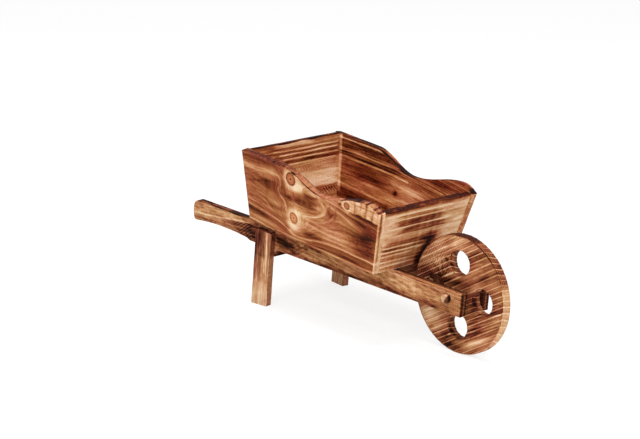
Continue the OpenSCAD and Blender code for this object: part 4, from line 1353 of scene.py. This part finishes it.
# %% The wheel
WHEEL_GRAIN = math.radians(30)
# Two blots, at (-14, 12) and (-40, 14), are painted shade: the dark just above the near rail on the
# wheel's back half. The others are burn.
WHEEL_FLAME_AND_SHADE = [
    (34, -28, 40, 16, 28, 0.2), (-14, -54, 30, 10, 28, 0.22), (52, -6, 16, 12, 28, 0.08),
    (-6, -64, 24, 5, 0, 0.2), (30, -50, 26, 3.4, 27, -0.56), (-46, -36, 13, 11, 28, -0.34),
    (-34, -50, 8, 6, 28, -0.1), (44, 31, 24, 4, 24, 0.22), (16, 28, 40, 6, 24, -0.08),
    (-40, 40, 34, 18, 28, -0.06), (-6, 60, 24, 9, 28, -0.16), (-14, 12, 24, 5, 8, 0.34),
    (-40, 14, 20, 7, 0, 0.3), (14, 0, 9, 14, 0, 0.14), (24, -6, 5, 10, 0, 0.24),
    (-62, 20, 10, 14, 60, 0.1), (8, -22, 12, 9, 0, 0.1), (60, -24, 8, 12, 0, 0.06),
    (14, 45, 10, 8, 28, 0.12), (-24, 42, 9, 9, 0, 0.1)]
WHEEL_LINES = [
    (0.9, 0.7, [(-4, -39), (28, -24), (66, -7)]), (0.8, 0.5, [(0, -29), (30, -15), (62, 1)]),
    (1.0, 0.8, [(-14, -52), (20, -34), (64, -14)]), (0.8, 0.5, [(-28, -65), (0, -49), (36, -33)]),
    (0.9, 0.6, [(36, -33), (66, -19)]), (0.8, 0.45, [(-8, -61), (20, -47)]),
    (0.9, 0.5, [(-62, 30), (-34, 46), (-8, 58)]), (0.9, 0.6, [(-66, 18), (-40, 33), (-20, 42)]),
    (0.9, 0.5, [(-48, 50), (-20, 63), (-4, 69)]), (1.4, 0.4, [(-24, 17), (10, 34), (34, 45)]),
    (0.8, 0.5, [(48, 6), (66, 14)]), (0.8, 0.5, [(46, -2), (66, 6)]),
    (1.0, 0.4, [(-56, -33), (-36, -24)]), (0.9, 0.5, [(-50, -47), (-30, -36)])]


def wheel_wood_marks(flat):
    """Board coordinates follow the grain. Blots and lines are placed on the upright wheel."""
    u, v, w = flat.T
    ring = log_rings(flat, (175, 60), 6.0, 101, wander=(200, 40, 60), sway=0.55)
    burn = 0.54 + 0.06 * cloud(flat, (70, 9, 10), 102) + 0.07 * cloud(flat, (16, 3, 6), 103)
    right_face = smooth(8, 4, w)
    upright = turned_by(flat, WHEEL_GRAIN)
    burn += right_face * smudges(upright, WHEEL_FLAME_AND_SHADE)
    # Chips that the saw tore out across the grain, between the left and the upper opening
    torn = right_face * bell(u, -8, 22) * bell(v, 40, 9)
    burn += torn * 0.3 * np.maximum(cloud(flat, (3.5, 9, 6), 109), 0)
    burn -= torn * 0.2 * np.maximum(cloud(flat, (4, 7, 6), 110), 0)
    # The rim: bare to the front, with the arcs of end grain above that
    reach, turn = np.hypot(u, v), np.degrees(np.arctan2(upright[:, 1], upright[:, 0]))
    rim = smooth(WHEEL_R - 1.3, WHEEL_R - 0.4, reach)
    pale_rim = stretch(turn, -60, -42, 14, 24)
    arcs = stretch(turn, 16, 26, 68, 84)
    waves = np.sin(w * 2.3 + 0.7 * cloud(flat, (12, 12, 9), 106))
    burn += rim * (pale_rim * (0.26 - burn) + arcs * (0.68 + 0.22 * waves - burn))
    # The openings' walls, whose edges are burnt in places
    holes = [rotated(HOLE_OUT, 0, quarter * QUARTER - WHEEL_GRAIN) for quarter in range(4)]
    off_hole = np.minimum.reduce([np.hypot(u - hole_u, v - hole_v) for hole_u, hole_v in holes])
    wall = smooth(HOLE_R + 1.4, HOLE_R + 0.4, off_hole)
    inside = stretch(w, 0.4, 1.6, WHEEL_T - 1.6, WHEEL_T - 0.4)
    burn += wall * (0.1 + 0.1 * cloud(flat, (9, 9, 4), 107))
    upper_left = smooth(55, 80, turn)
    edge = bell(reach, WHEEL_R - 0.8, 0.9 + 0.6 * upper_left) * (1 - pale_rim)
    # The rim and the face's edge are darker from the top round to the back, next to the front board: char,
    # with the board's shade painted in.
    soot = np.maximum.reduce([
        wall * (1 - inside) * (0.45 + 0.35 * cloud(flat, (9, 9, 9), 108)),
        edge * (0.5 + 0.2 * upper_left + 0.3 * cloud(flat, (16, 16, 8), 104)),
        0.6 * rim * stretch(turn, -150, -120, -84, -66), 0.82 * rim * stretch(turn, 62, 74, 120, 165)])
    calm = bell(u, 30, 40) * bell(v, 12, 7)
    return {"ring": ring, "burn": burn, "char": np.clip(soot, 0, 1),
            "line": right_face * strokes(upright, WHEEL_LINES), "shown": 1 - 0.85 * calm,
            "sawn": right_face * smooth(16, 26, v) * smooth(14, -4, u)}


upright, quads = wheel_surface()
hub_x, _, hub_z = on_ground(axle_x, 0.0, AXLE_UP)
placed = np.stack([hub_x + upright[:, 0], upright[:, 2] - WHEEL_T / 2, hub_z + upright[:, 1]], 1)
flat = turned_by(upright, -WHEEL_GRAIN)
add_piece("wheel", wheel_wood, placed, quads, flat, wheel_wood_marks, body="wheel",
          relief=0.3)

# %% [markdown]
# The dowel is bought ready made, so it is smooth, and paler and yellower than the
# boards. It is a square block sent to a circle, as the corners of the grips are: a
# cylinder's end caps would come to a pole, where the wood's pattern pinches.

# %% The axle dowel
DOWEL_EASE = 0.6


def dowel_marks(flat):
    """Pale end grain, a darker shaft, and painted shade that makes it darker towards the front and below.
    """
    from_end = axle_half - abs(flat[:, 0])
    burn = 0.26 + 0.1 * cloud(flat, (9, 3, 3), 112) + 0.3 * smooth(0.9, 3, from_end)
    # Painted shade: darker towards the front and below.
    burn += 0.5 * smooth(-0.5, 3.5, flat[:, 2] - 0.4 * flat[:, 1])
    return {"ring": log_rings(flat, (14, 9), 2.2, 111), "burn": burn, "shown": 0.6}


dowel_end = np.array([axle_half, AXLE_R, AXLE_R])
points, quads = eased_block(-dowel_end, dowel_end, (1.5, 0.9, 0.9), DOWEL_EASE)
flat = np.stack([points[:, 0], *square_to_round(points[:, 1], points[:, 2])], 1)
placed = on_ground(axle_x + flat[:, 2], flat[:, 0], AXLE_UP + flat[:, 1])
add_piece("axle_dowel", dowel_wood, placed, quads, flat, dowel_marks, relief=0.05,
          look="plain_")

# %% [markdown]
# The nails stay as the CAD made them: their shape is right, and the boards hide all of
# them but the six heads on the floor. They only need a dull steel instead of grey.

# %% Nails
steel, tree = new_material("dull_nail_steel")
where = add_node(tree, "TexCoord").outputs["Object"]
mottle = add_node(tree, "TexNoise", {"Vector": where, "Scale": 900.0, "Detail": 3.0}).outputs["Fac"]
tint = ramp_of(tree, mottle, [(0.3, screen(96, 92, 90)), (0.7, screen(150, 146, 142))])
rough = sum_of(tree, "MULTIPLY_ADD", mottle, 0.25, 0.3)
metal = add_node(tree, "BsdfPrincipled", {"Base Color": tint, "Metallic": 1.0, "Roughness": rough})
add_node(tree, "OutputMaterial", {"Surface": metal.outputs[0]})
for name in ("side_brads", "end_brads", "floor_brads", "leg_brads"):
    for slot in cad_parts[name].material_slots:
        slot.material = steel
    print(name, "are now", steel.name)

# %% [markdown]
# Last come the sums: how many triangles were made, and the most in one piece.

# %% Measures and the end
print("triangles:", sum(made_triangles.values()), "most in one piece:", max(made_triangles.values()))
